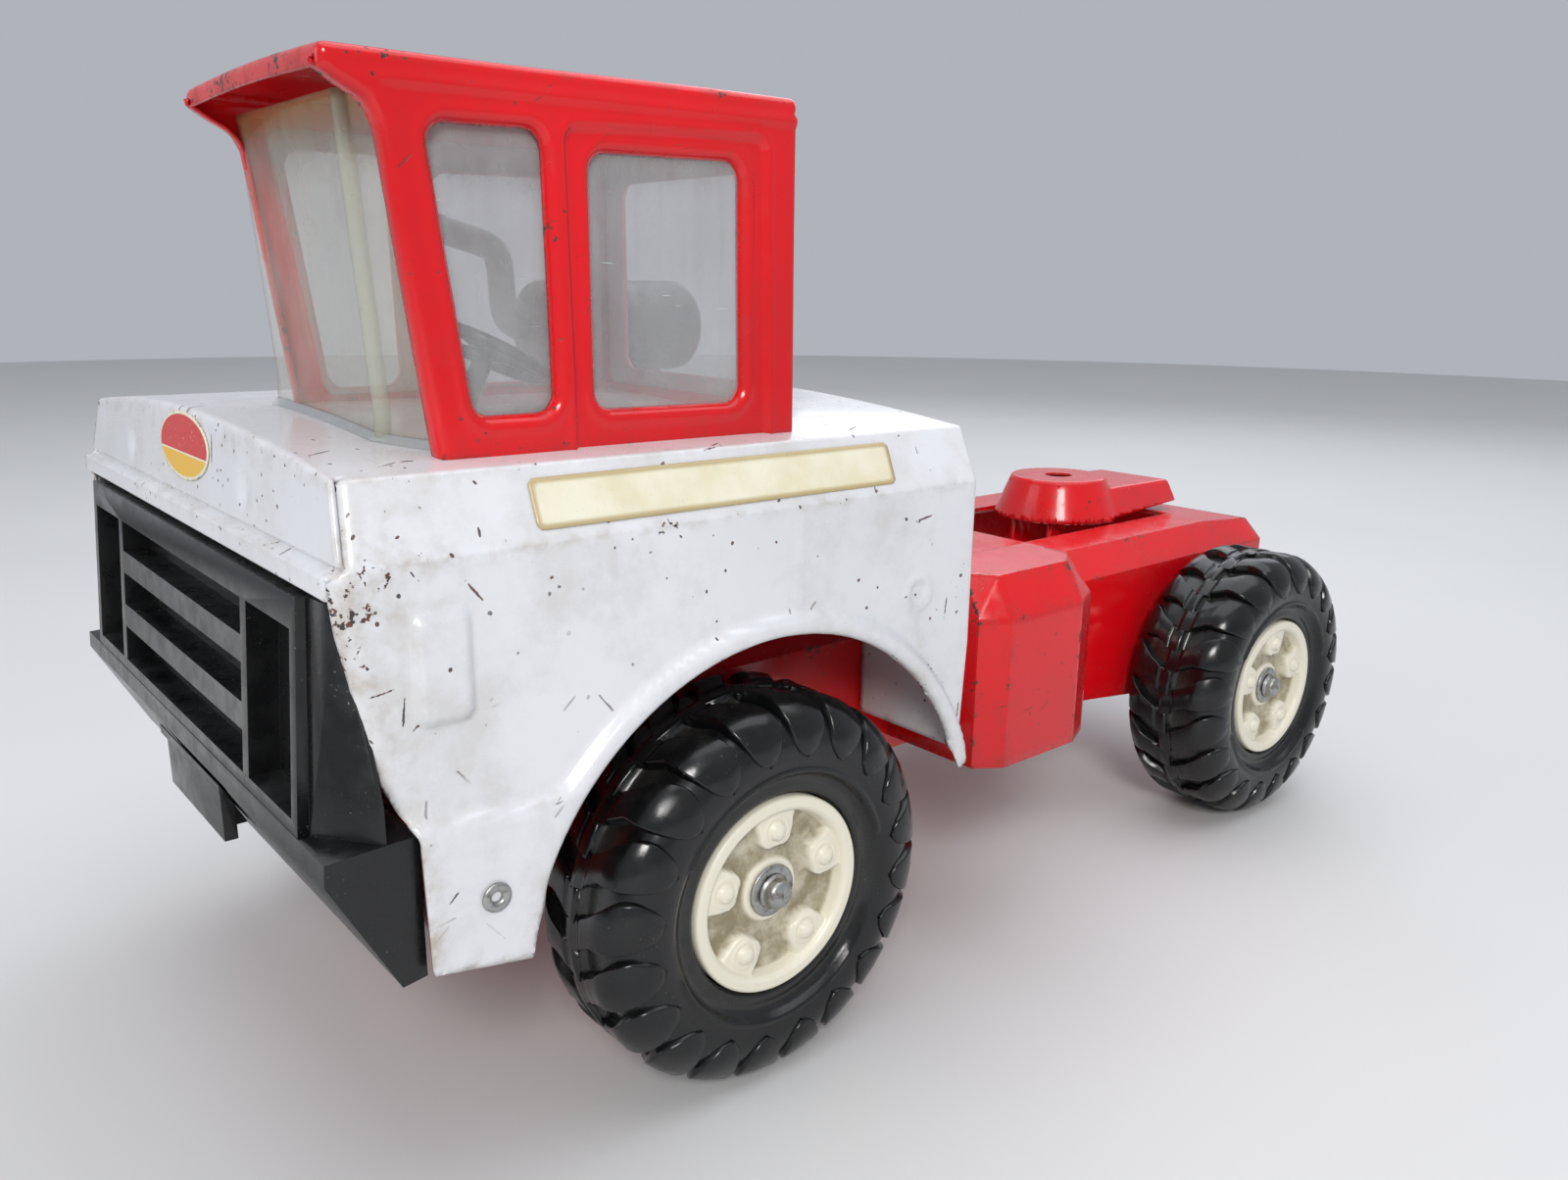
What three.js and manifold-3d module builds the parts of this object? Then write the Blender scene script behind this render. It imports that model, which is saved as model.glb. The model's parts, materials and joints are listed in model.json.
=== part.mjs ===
// Pressed-steel toy semi tractor: half-width cab on a broad hood, open rear chassis,
// tilting coupling plate and four free-rolling wheels. Millimetres, +X forward, +Y left, +Z up.
// Lengths along X are measured from the front axle; the whole truck is shifted at the end so that
// the origin lies at the centre of the footprint, on the ground.
import * as THREE from "three";
import { mergeVertices } from "three/addons/utils/BufferGeometryUtils.js";
import { ConvexGeometry } from "three/addons/geometries/ConvexGeometry.js";
import Module from "manifold-3d";

const wasm = await Module();
wasm.setup();

// ---------------------------------------------------------------- driving dimensions
const TYRE_R = 54; // 4 1/4 inch wheel
const TYRE_W = 40;
const AXLE_Z = TYRE_R;
const REAR_AXLE_X = -265.2;
const FRONT_TYRE_FACE_Y = 107.4;
const REAR_TYRE_FACE_Y = 103.8;
const RIM_R = 27.4;
const AXLE_R = 3;
const GAP = 0.3; // clearance between neighbouring pieces

const SHEET = 1.6; // pressed steel
const BODY_HALF = 103; // side wall
const FLARE_HALF = 106; // lower panel and arch lip
const BODY_REAR_X = -73;
const HOOD_EDGE_HALF = 96.2;
const HOOD_EDGE_Z = 174.2;
const HOOD_EDGE_REAR_Z = 172.6;
const HOOD_CROWN = 6.3;
const HOOD_CREASE_Z = 157.7;
const NOSE_TOP_X = 106.6;
const NOSE_CREASE_X = 108.7;
const NOSE_LIP_X = 111.4;
const NOSE_BOTTOM_Z = 152;
const ARCH_R = 72.5;
const ARCH_X = 2;
const ARCH_LIP = 5;
const RIVET_X = 82;
const RIVET_Z = 82.7;

const CAB_LEFT_Y = 88;
const CAB_RIGHT_Y = 1.5;
const CAB_TOP_Z = 254.8;
const CAB_REAR_X = -17;

const CHASSIS_HALF = 60;
const CHASSIS_SHEET = 2;
const DECK_Z = 112;
const DECK_HALF = 50;
const CHASSIS_CREASE_Z = 102;
const CHASSIS_REAR_X = -318;
const WELL_FRONT_X = -189;
const WELL_REAR_X = -290;
const WELL_HALF = 30;

const PLATE_X = -248; // centre of the coupling plate's raised disc
const PLATE_TOP_Z = 129.5;
const PLATE_PIVOT_X = -236;
const PLATE_PIVOT_Z = 117;
const TAIL_X = -310;

// ---------------------------------------------------------------- solids and booleans
function solid(geometry) {
  const bare = geometry.clone();
  bare.deleteAttribute("normal");
  bare.deleteAttribute("uv");
  const merged = mergeVertices(bare, 1e-4);
  return new wasm.Manifold(new wasm.Mesh({
    numProp: 3,
    vertProperties: merged.attributes.position.array,
    triVerts: new Uint32Array(merged.index.array),
  }));
}

function geometryOf(manifold) {
  const mesh = manifold.getMesh();
  const geometry = new THREE.BufferGeometry();
  geometry.setAttribute("position", new THREE.BufferAttribute(mesh.vertProperties.slice(), 3));
  geometry.setIndex(new THREE.BufferAttribute(mesh.triVerts.slice(), 1));
  geometry.computeVertexNormals();
  return geometry;
}

function cut(base, ...tools) {
  return tools.reduce((left, tool) => left.subtract(tool), base);
}

function join(first, ...others) {
  return others.reduce((left, other) => left.add(other), first);
}

function extruded(points, depth) {
  const shape = points instanceof THREE.Shape
    ? points
    : new THREE.Shape(points.map(([u, v]) => new THREE.Vector2(u, v)));
  return new THREE.ExtrudeGeometry(shape, { depth, bevelEnabled: false, curveSegments: 4 });
}

// outline given as (x, z), extruded from y = low to y = high
function alongY(points, low, high) {
  const geometry = extruded(points, high - low);
  geometry.rotateX(Math.PI / 2);
  geometry.translate(0, high, 0);
  return solid(geometry);
}

// outline given as (y, z), extruded from x = low to x = high
function alongX(points, low, high) {
  const geometry = extruded(points, high - low);
  const turn = new THREE.Matrix4().makeBasis(
    new THREE.Vector3(0, 1, 0), new THREE.Vector3(0, 0, 1), new THREE.Vector3(1, 0, 0));
  geometry.applyMatrix4(turn);
  geometry.translate(low, 0, 0);
  return solid(geometry);
}

// outline given as (x, y), extruded from z = low to z = high
function alongZ(points, low, high) {
  const geometry = extruded(points, high - low);
  geometry.translate(0, 0, low);
  return solid(geometry);
}

function block(x0, x1, y0, y1, z0, z1) {
  const geometry = new THREE.BoxGeometry(x1 - x0, y1 - y0, z1 - z0);
  geometry.translate((x0 + x1) / 2, (y0 + y1) / 2, (z0 + z1) / 2);
  return solid(geometry);
}

function rodAlongY(x, z, radius, y0, y1, segments = 20) {
  const geometry = new THREE.CylinderGeometry(radius, radius, y1 - y0, segments);
  geometry.translate(x, (y0 + y1) / 2, z);
  return solid(geometry);
}

function rodAlongZ(x, y, radius, z0, z1, segments = 20) {
  const geometry = new THREE.CylinderGeometry(radius, radius, z1 - z0, segments);
  geometry.rotateX(Math.PI / 2);
  geometry.translate(x, y, (z0 + z1) / 2);
  return solid(geometry);
}

function hull(points) {
  return solid(new ConvexGeometry(points.map(([x, y, z]) => new THREE.Vector3(x, y, z))));
}

function roundedOutline(u0, u1, v0, v1, r) {
  const shape = new THREE.Shape();
  shape.moveTo(u0 + r, v0);
  shape.lineTo(u1 - r, v0);
  shape.absarc(u1 - r, v0 + r, r, -Math.PI / 2, 0);
  shape.lineTo(u1, v1 - r);
  shape.absarc(u1 - r, v1 - r, r, 0, Math.PI / 2);
  shape.lineTo(u0 + r, v1);
  shape.absarc(u0 + r, v1 - r, r, Math.PI / 2, Math.PI);
  shape.lineTo(u0, v0 + r);
  shape.absarc(u0 + r, v0 + r, r, Math.PI, 1.5 * Math.PI);
  return shape;
}

// closed (radius, y) outline, anticlockwise, turned about the Y axis
function turned(profile, segments, start = 0) {
  const points = profile.map(([r, y]) => new THREE.Vector2(r, y));
  return new THREE.LatheGeometry([...points, points[0].clone()], segments, start);
}

// ---------------------------------------------------------------- materials
function material(color, roughness, metalness = 0, extra = {}) {
  return new THREE.MeshStandardMaterial({ color, roughness, metalness, ...extra });
}

const whitePaint = () => material(0xe9ecef, 0.3);
const redPaint = () => material(0xd8141c, 0.3);
const blackPlastic = () => material(0x0d0e10, 0.4);
const ivoryPlastic = () => material(0xe6e0cc, 0.45);
const tyreBlack = () => material(0x101214, 0.35);
const steel = () => material(0x9da0a2, 0.35, 0.9);
const clearPlastic = () => material(0xd9dcc4, 0.2, 0, { transparent: true, opacity: 0.35 });
const paper = () => material(0xe9e4cf, 0.5);

const truck = new THREE.Group();

function piece(name, shape, mat, parent = truck) {
  const geometry = shape instanceof THREE.BufferGeometry ? shape : geometryOf(shape);
  const mesh = new THREE.Mesh(geometry, mat);
  mesh.name = name;
  parent.add(mesh);
  return mesh;
}

const SIDES = [["left", 1], ["right", -1]];

// ---------------------------------------------------------------- body shell
// one convex section of hood and sides, at X = x, drawn in by inset on every face
function bodySection(x, edgeZ, inset) {
  const half = [
    [HOOD_EDGE_HALF - 0.8 * inset, edgeZ - inset],
    [BODY_HALF - inset, HOOD_CREASE_Z - 0.3 * inset],
    [BODY_HALF - inset, 0],
  ];
  const crown = [x, 0, edgeZ + HOOD_CROWN - inset];
  return [crown, ...half.flatMap(([y, z]) => [[x, y, z], [x, -y, z]])];
}

function bodyBlock(rearX, inset) {
  const frontX = 125;
  return hull([
    ...bodySection(rearX, HOOD_EDGE_REAR_Z, inset),
    ...bodySection(frontX, HOOD_EDGE_Z, inset),
  ]);
}

const SIDE_OUTLINE = [
  [BODY_REAR_X, 200], [BODY_REAR_X, HOOD_CREASE_Z], [-70, 74], [-66, 74], [-40, 64], [66, 64],
  [74.3, 64.6], [95.6, 68.9], [96.7, 102], [100.1, 112.7], [104.1, 134.5], [108.4, NOSE_BOTTOM_Z + 3],
  [NOSE_CREASE_X, 158], [NOSE_TOP_X, 174], [NOSE_TOP_X - 1, 200],
];

function bodyShell() {
  const outline = alongY(SIDE_OUTLINE, -FLARE_HALF - 1, FLARE_HALF + 1);
  const outer = bodyBlock(BODY_REAR_X - 5, 0).intersect(outline);
  const inner = bodyBlock(BODY_REAR_X - 5, SHEET);
  const behindNose = alongY([
    [BODY_REAR_X + SHEET, 0], [130, 0], [130, NOSE_BOTTOM_Z - SHEET], [NOSE_CREASE_X - 2, NOSE_BOTTOM_Z],
    [NOSE_CREASE_X - 2, 158], [NOSE_TOP_X - 2, 174], [NOSE_TOP_X - 3, 200], [BODY_REAR_X + SHEET, 200],
  ], -BODY_HALF, BODY_HALF);
  const lip = alongY([
    [NOSE_CREASE_X - 2.5, NOSE_BOTTOM_Z], [NOSE_LIP_X, NOSE_BOTTOM_Z + 0.6], [NOSE_LIP_X, 157.2],
    [NOSE_CREASE_X - 2.5, 158.4],
  ], -BODY_HALF + 3, BODY_HALF - 3);
  const wheelCut = rodAlongY(ARCH_X, 53, ARCH_R, -120, 120, 72);
  const archBand = cut(
    rodAlongY(ARCH_X, 53, ARCH_R + ARCH_LIP, -FLARE_HALF, FLARE_HALF, 72).intersect(outline),
    block(-200, 200, -BODY_HALF + SHEET, BODY_HALF - SHEET, 0, 200));
  const lowerPanel = cut(
    alongY([
      [54, 98.5], [48, 80], [66, 64.5], [74.3, 64.6], [95.6, 68.9], [96.2, 100.5], [93.5, 102],
    ], -FLARE_HALF, FLARE_HALF),
    block(-200, 200, -BODY_HALF + SHEET, BODY_HALF - SHEET, 0, 200));
  const chassisSlot = alongX(chassisSection(-GAP), BODY_REAR_X - 5, BODY_REAR_X + 5);
  const shell = join(cut(outer, inner.intersect(behindNose)), lip, archBand, lowerPanel);
  const rivetHoles = rodAlongY(RIVET_X, RIVET_Z, 2.1, -120, 120, 16);
  return cut(shell, wheelCut, chassisSlot, rivetHoles);
}

// ---------------------------------------------------------------- chassis
function chassisSection(inset) {
  const crease = inset * 0.4;
  return [
    [CHASSIS_HALF - inset, 30], [CHASSIS_HALF - inset, CHASSIS_CREASE_Z - crease],
    [DECK_HALF - crease, DECK_Z - inset], [-DECK_HALF + crease, DECK_Z - inset],
    [-CHASSIS_HALF + inset, CHASSIS_CREASE_Z - crease], [-CHASSIS_HALF + inset, 30],
  ];
}

function chassisFrame() {
  const frontX = 92;
  const earHalf = 12;
  const outline = [
    [frontX, 120], [frontX, 72], [60, 62], [earHalf + 6, 60], [earHalf, 46], [-earHalf, 46],
    [-earHalf - 6, 60], [-130, 60], [-200, 52], [REAR_AXLE_X + earHalf, 45], [REAR_AXLE_X - earHalf, 45],
    [-300, 62], [CHASSIS_REAR_X, 76], [CHASSIS_REAR_X, 110], [-285, DECK_Z], [-285, 120],
  ];
  const body = alongX(chassisSection(0), CHASSIS_REAR_X, frontX)
    .intersect(alongY(outline, -CHASSIS_HALF - 1, CHASSIS_HALF + 1));
  const hollow = alongX(chassisSection(CHASSIS_SHEET), CHASSIS_REAR_X + CHASSIS_SHEET, frontX - CHASSIS_SHEET);
  const well = block(WELL_REAR_X, WELL_FRONT_X, -WELL_HALF, WELL_HALF, DECK_Z - 10, DECK_Z + 10);
  const axleHoles = [0, REAR_AXLE_X].map((x) => rodAlongY(x, AXLE_Z, AXLE_R + GAP, -120, 120));
  const bumperFlange = block(frontX - CHASSIS_SHEET, frontX + 1, -BODY_HALF + 2, BODY_HALF - 2, 74, 99);
  return cut(join(cut(body, hollow), bumperFlange), well, ...axleHoles);
}

// pressed saddle tank, open below, welded against the chassis side
function saddleTank(side) {
  const ring = (z, front, rear, outer, draw, wallY) => [
    [front, wallY, z], [front, outer - 6 - draw, z], [front - 8.5 + draw, outer, z],
    [rear + 13 - draw, outer, z], [rear + 1, outer - 5.5 - draw, z], [rear, wallY, z],
  ];
  const skin = (t) => hull([
    ...ring(t > 0 ? 50 : 65, -84.5 - t, -141 + t, 102.5 - t, 0, CHASSIS_HALF + GAP + t),
    ...ring(113, -84.5 - t, -141 + t, 102.5 - t, 0, CHASSIS_HALF + GAP + t),
    ...ring(125.5 - t, -87 - t, -138 + t, 95.8 - t, 2, 70),
    [-90 - t, CHASSIS_HALF + GAP + t, 122 - t], [-138 + t, CHASSIS_HALF + GAP + t, 122 - t],
  ]);
  const tank = cut(skin(0), skin(SHEET));
  return side > 0 ? tank : tank.mirror([0, 1, 0]);
}

// ---------------------------------------------------------------- grille, bumper and plate block
const FACE_TOP = [112.5, 150.5];
const FACE_BOTTOM = [116.8, 95];

function faceX(z) {
  const run = (FACE_TOP[1] - z) / (FACE_TOP[1] - FACE_BOTTOM[1]);
  return FACE_TOP[0] + run * (FACE_BOTTOM[0] - FACE_TOP[0]);
}

// slab that leans with the grille face, between two heights, from depth back to the face
function leaningSlab(z0, z1, y0, y1, deep, proud = 0) {
  return alongY([
    [faceX(z0) - deep, z0], [faceX(z0) - proud, z0], [faceX(z1) - proud, z1], [faceX(z1) - deep, z1],
  ], y0, y1);
}

function grilleBumper() {
  const barDepth = 7;
  const topZ = 150.5;
  const grilleHalf = 88;
  const frame = leaningSlab(100, topZ, -grilleHalf, grilleHalf, barDepth + 2);
  const centreGaps = [[135, 143.5], [119.5, 128.7], [103, 113]].map(
    ([z0, z1]) => leaningSlab(z0, z1, -53, 53, barDepth, -5));
  const outerSlot = leaningSlab(103, 143.5, 57, 84.5, barDepth, -5);
  const outerSlots = [outerSlot, outerSlot.mirror([0, 1, 0])];
  const wing = (s) => hull([
    [110.5, 88 * s, topZ], [109, 100 * s, topZ], [107, 88 * s, topZ], [107, 100 * s, topZ],
    [114, 88 * s, 99], [103.5, 102.6 * s, 108], [103.5, 102.6 * s, 99], [104.5, 88 * s, 99],
  ]);
  const bumper = alongY([
    [97, 100.5], [97, 68], [102.5, 67.2], [FACE_BOTTOM[0], FACE_BOTTOM[1]], [116.5, 99.8],
  ], -BODY_HALF, BODY_HALF);
  const bumperHollow = alongY([
    [90, 95], [90, 60], [99, 69], [110.5, 94.5],
  ], -BODY_HALF + 4, BODY_HALF - 4);
  return cut(join(frame, wing(1), wing(-1), cut(bumper, bumperHollow)), ...centreGaps, ...outerSlots);
}

function plateBlock() {
  const plate = block(111.2, 114.5, -24, 24, 74, 88);
  const flange = block(100, 115.3, -27, 27, 88, 90.5);
  const web = block(100, 111.4, -20, 20, 76, 88.2);
  const bumperSkin = alongY([
    [90, 110], [90, 60], [102.5 + GAP, 67.2 - GAP], [FACE_BOTTOM[0] + GAP, FACE_BOTTOM[1] - GAP], [118, 110],
  ], -BODY_HALF - 5, BODY_HALF + 5);
  return cut(join(plate, flange, web), bumperSkin);
}

// ---------------------------------------------------------------- cab
const CAB_OUTLINE = [
  [CAB_REAR_X, 150], [80.3, 150], [80.3, 174.5], [88.2, 237.7], [89.8, 243.5], [95, 247.5],
  [99.8, 248.9], [98.8, 253.9], [-15.4, CAB_TOP_Z],
];
const FRONT_WINDOW = [[53, 242], [52.2, 183.2], [71.3, 183.3], [79.1, 241.6]];
const REAR_WINDOW = [-1, 41, 182.6, 239.2];

function hoodKeepout() {
  return bodyBlock(BODY_REAR_X - 5, -GAP);
}

function cabShell() {
  const outer = alongY(CAB_OUTLINE, CAB_RIGHT_Y, CAB_LEFT_Y);
  const roomLow = CAB_RIGHT_Y + SHEET;
  const roomHigh = CAB_LEFT_Y - SHEET;
  const room = alongY([
    [CAB_REAR_X + SHEET, 140], [120, 140], [120, 244], [98, 244], [95, 249.5],
    [CAB_REAR_X + 2 * SHEET, CAB_TOP_Z - SHEET],
  ], roomLow, roomHigh);
  const rearOpening = alongX(roundedOutline(14, 76, 186, 238, 5), CAB_REAR_X - 5, CAB_REAR_X + 5);
  const frontWindow = alongY(FRONT_WINDOW, -20, 120);
  const rearWindow = alongY(roundedOutline(...REAR_WINDOW, 4), -20, 120);
  return cut(outer, room, rearOpening, frontWindow, rearWindow, hoodKeepout());
}

const GLASS = 1.4;
const GLASS_BOTTOM_Z = 176;

// windscreen: front pane, thick corner post and angled pane to the door pillar
function windshield() {
  const pane = (z) => {
    const lean = (z - 174) * 0.066;
    return [
      [84 + lean, CAB_RIGHT_Y + SHEET + GAP, z], [84 + lean, 66, z], [82.2 + lean, 69.6, z],
      [72.5 + lean * 1.9, CAB_LEFT_Y - SHEET - GAP, z],
    ];
  };
  const low = pane(168);
  const high = pane(249);
  const panel = (a, b, thick, drift) => hull([
    low[a], low[b], high[a], high[b],
    ...[low[a], low[b], high[a], high[b]].map(([x, y, z]) => [x - thick, y - drift, z]),
  ]);
  const glass = join(panel(0, 1, GLASS, 0), panel(1, 2, 3, 1), panel(2, 3, GLASS + 0.6, 1));
  const headroom = block(0, 140, -20, 120, 248.6, 270);
  return cut(glass, hoodKeepout(), headroom);
}

function sidePane(y0, y1) {
  return alongY([
    [-11, GLASS_BOTTOM_Z + 5], [69, GLASS_BOTTOM_Z + 5], [78, 247], [-11, 247],
  ], y0, y1);
}

function rearPane() {
  const x0 = CAB_REAR_X + 2 * SHEET + GAP;
  return block(x0, x0 + GLASS, 8, 80, GLASS_BOTTOM_Z + 5, 246);
}

// ---------------------------------------------------------------- steering
const WHEEL_CENTRE = new THREE.Vector3(47, 45, 194);
const COLUMN_TILT = THREE.MathUtils.degToRad(28); // column leans back from the vertical

function steeringColumn() {
  const length = 40;
  const post = new THREE.CylinderGeometry(2.4, 3.4, length, 16);
  post.translate(0, -length / 2 - 1.8, 0);
  const pin = new THREE.CylinderGeometry(1.2, 1.2, 4.5, 16);
  pin.translate(0, -1.75, 0);
  const geometry = geometryOf(join(solid(post), solid(pin)));
  geometry.applyMatrix4(steeringTurn());
  return cut(solid(geometry), hoodKeepout());
}

// turns the Y axis to the column's direction, up and towards the driver, and moves to the wheel
function steeringTurn() {
  const turn = new THREE.Matrix4().makeRotationFromEuler(
    new THREE.Euler(Math.PI / 2, 0, 0));
  const tilt = new THREE.Matrix4().makeRotationY(-COLUMN_TILT);
  const move = new THREE.Matrix4().makeTranslation(WHEEL_CENTRE.x, WHEEL_CENTRE.y, WHEEL_CENTRE.z);
  return move.multiply(tilt).multiply(turn);
}

function steeringWheel() {
  const rimR = 15.5;
  const rim = new THREE.TorusGeometry(rimR, 1.5, 6, 24);
  rim.rotateX(Math.PI / 2);
  const hub = new THREE.CylinderGeometry(4, 4, 3, SMALL_SEGMENTS);
  const spokes = [90, 210, 330].map((degrees) => {
    const spoke = new THREE.BoxGeometry(rimR - 2, 1.8, 3);
    spoke.translate(rimR / 2 + 1, 0, 0);
    spoke.rotateY(THREE.MathUtils.degToRad(degrees));
    return solid(spoke);
  });
  const bore = new THREE.CylinderGeometry(1.4, 1.4, 3, 16);
  bore.translate(0, -0.6, 0);
  const wheel = cut(join(solid(rim), solid(hub), ...spokes), solid(bore));
  const geometry = geometryOf(wheel);
  geometry.applyMatrix4(steeringTurn());
  return geometry;
}

// ---------------------------------------------------------------- air cleaner on the open hood half
const CLEANER = { x0: -66, x1: -6, y: -30, z: 196, r: 15 };
const PIPE_R = 4.2;

function airCleaner() {
  const { x0, x1, y, z, r } = CLEANER;
  const round = 5;
  const profile = [
    [0, x0], [r - round, x0], [r - round * 0.3, x0 + round * 0.3], [r, x0 + round],
    [r, x1 - round], [r - round * 0.3, x1 - round * 0.3], [r - round, x1], [0, x1],
  ].map(([radius, x]) => new THREE.Vector2(radius, x));
  const can = new THREE.LatheGeometry(profile, 32);
  can.rotateZ(-Math.PI / 2);
  can.translate(0, y, z);
  const foot = block(x0 + 14, x1 - 14, y - 9, y + 9, 170, z - r + 3);
  return cut(join(solid(can), foot), hoodKeepout());
}

// snorkel: leaves the front of the can, turns up, then forward
function intakePipe() {
  const { x1, y } = CLEANER;
  const route = new THREE.CatmullRomCurve3([
    [x1 + GAP, 196], [x1 + 4, 196.4], [x1 + 8, 199.5], [x1 + 9, 206], [x1 + 9.4, 214],
    [x1 + 11, 219.5], [x1 + 16, 222], [x1 + 24, 224.2], [x1 + 30, 225.8],
  ].map(([x, z]) => new THREE.Vector3(x, y, z)), false, "centripetal");
  const section = new THREE.Shape();
  section.absarc(0, 0, PIPE_R, 0, 2 * Math.PI);
  const tube = new THREE.ExtrudeGeometry(section, { steps: 16, extrudePath: route, curveSegments: 5 });
  const behind = block(x1 - 20, x1 + GAP, y - 10, y + 10, 180, 210);
  return cut(solid(tube), behind);
}

// ---------------------------------------------------------------- coupling plate on the rear deck
function platePoints(t) {
  const tail = (x, lowHalf, lowZ, highHalf, highZ) => SIDES.flatMap(([, s]) => [
    [x, (lowHalf - t) * s, lowZ], [x, (highHalf - t) * s, highZ - t],
  ]);
  return [
    ...tail(PLATE_X, 26.5, 112.5, 20.5, 126),
    ...tail(TAIL_X + 3 + t, 22, 114.5, 18, 124),
    [TAIL_X + t, 21 - t, 114.5], [TAIL_X + t, -21 + t, 114.5],
  ];
}

function plateBoss(t) {
  const low = 112.5;
  const cone = new THREE.CylinderGeometry(20.5 - t, 27 - t, PLATE_TOP_Z - t - low, 32);
  cone.rotateX(Math.PI / 2);
  cone.translate(PLATE_X, 0, (PLATE_TOP_Z - t + low) / 2);
  return solid(cone);
}

const PLATE_SHEET = 2;
const KINGPIN_R = 6;
const PIN_R = 2.4;

function couplingPlate() {
  const outer = join(plateBoss(0), hull(platePoints(0)));
  const opening = join(plateBoss(PLATE_SHEET), hull(platePoints(PLATE_SHEET)));
  const below = opening.translate([0, 0, -2.5]);
  const kingpinHole = rodAlongZ(PLATE_X, 0, KINGPIN_R, 100, 140);
  // two ears under the disc hang on the pin
  const ear = block(PLATE_PIVOT_X - 5, PLATE_PIVOT_X + 5, 11.5, 13.5, 113.5, PLATE_TOP_Z - PLATE_SHEET / 2);
  const pivotHole = rodAlongY(PLATE_PIVOT_X, PLATE_PIVOT_Z, PIN_R + 0.4, -20, 20);
  return cut(join(cut(outer, opening, below), ear, ear.mirror([0, 1, 0])), kingpinHole, pivotHole);
}

function plateBracket() {
  const ear = (y0, y1) => alongY([
    [PLATE_PIVOT_X - 7, 92], [PLATE_PIVOT_X + 7, 92], [PLATE_PIVOT_X + 4, 118],
    [PLATE_PIVOT_X + 2, 121], [PLATE_PIVOT_X - 2, 121], [PLATE_PIVOT_X - 4, 118],
  ], y0, y1);
  const reach = CHASSIS_HALF - CHASSIS_SHEET - GAP;
  const base = block(PLATE_PIVOT_X - 14, PLATE_PIVOT_X + 14, -reach, reach, 92, 94);
  const bore = rodAlongY(PLATE_PIVOT_X, PLATE_PIVOT_Z, PIN_R + 0.4, -20, 20);
  return cut(join(base, ear(8.5, 11), ear(-11, -8.5)), bore);
}

function platePin() {
  const half = 15.4;
  const head = 1.3;
  const headR = 3.4;
  return join(
    rodAlongY(PLATE_PIVOT_X, PLATE_PIVOT_Z, PIN_R, -half, half),
    rodAlongY(PLATE_PIVOT_X, PLATE_PIVOT_Z, headR, half - head, half),
    rodAlongY(PLATE_PIVOT_X, PLATE_PIVOT_Z, headR, -half, -half + head));
}

// ---------------------------------------------------------------- wheels
// wheel pieces are drawn with y = 0 at the tyre's outer face and y falling towards the chassis
const WHEEL_SEGMENTS = 36;
const SMALL_SEGMENTS = 16;
const BOSS_FACE = -7;

function tyre() {
  // flats, not corners, touch the ground at the stated radius
  const grow = 1 / Math.cos(Math.PI / WHEEL_SEGMENTS);
  const bead = RIM_R + GAP;
  const crown = TYRE_R * grow;
  const profile = [
    [bead, -TYRE_W + 1.5], [36, -TYRE_W], [46, -TYRE_W + 1], [crown, -TYRE_W + 8],
    [crown, -8], [46, -1], [36, 0], [bead, -1.5],
    [bead, -7], [47, -9], [47, -TYRE_W + 9], [bead, -TYRE_W + 7],
  ];
  return turned(profile, WHEEL_SEGMENTS, Math.PI / WHEEL_SEGMENTS);
}

function hub(bossEnd) {
  const bore = AXLE_R + 0.15;
  const face = -2.8;
  const dish = -8;
  const wall = 2.8;
  const drum = turned([
    [bore, bossEnd], [8, bossEnd], [8, dish - wall], [RIM_R - wall, dish - wall], [RIM_R - wall, -TYRE_W + 1],
    [RIM_R, -TYRE_W + 1], [RIM_R, face], [RIM_R - 3.8, face], [RIM_R - 4.8, dish], [10, dish],
    [9, BOSS_FACE], [bore, BOSS_FACE],
  ], 28);
  // five teardrop lugs, broad at the rim, each with a moulded nut
  const lugs = [0, 1, 2, 3, 4].map((k) => {
    const outline = new THREE.Shape();
    outline.moveTo(11.5, 0);
    outline.lineTo(17, -4.2);
    outline.lineTo(RIM_R - 3.4, -5.2);
    outline.lineTo(RIM_R - 3.4, 5.2);
    outline.lineTo(17, 4.2);
    const angle = (k * 72 + 90) * Math.PI / 180;
    const lug = alongZ(outline, 0, 3.6).add(rodAlongZ(18.2, 0, 2.2, 3.4, 5.2, 6));
    const placed = geometryOf(lug);
    placed.rotateZ(angle);
    placed.rotateX(-Math.PI / 2);
    placed.translate(0, dish - 0.2, 0);
    return solid(placed);
  });
  return join(solid(drum), ...lugs);
}

function washer() {
  const bore = AXLE_R + GAP;
  return turned([
    [bore, BOSS_FACE + GAP], [6.6, BOSS_FACE + GAP], [6.6, BOSS_FACE + GAP + 0.8], [bore, BOSS_FACE + GAP + 0.8],
  ], SMALL_SEGMENTS);
}

// push-on cap that grips the end of the axle
function axleCap() {
  const low = BOSS_FACE + 2 * GAP + 0.8;
  const bore = AXLE_R + GAP;
  return turned([
    [bore, low], [5.2, low], [5.2, low + 0.8], [4.4, low + 1], [4, low + 2.4],
    [0, low + 3.4], [0, low + 2], [bore, low + 2],
  ], SMALL_SEGMENTS);
}

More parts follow.
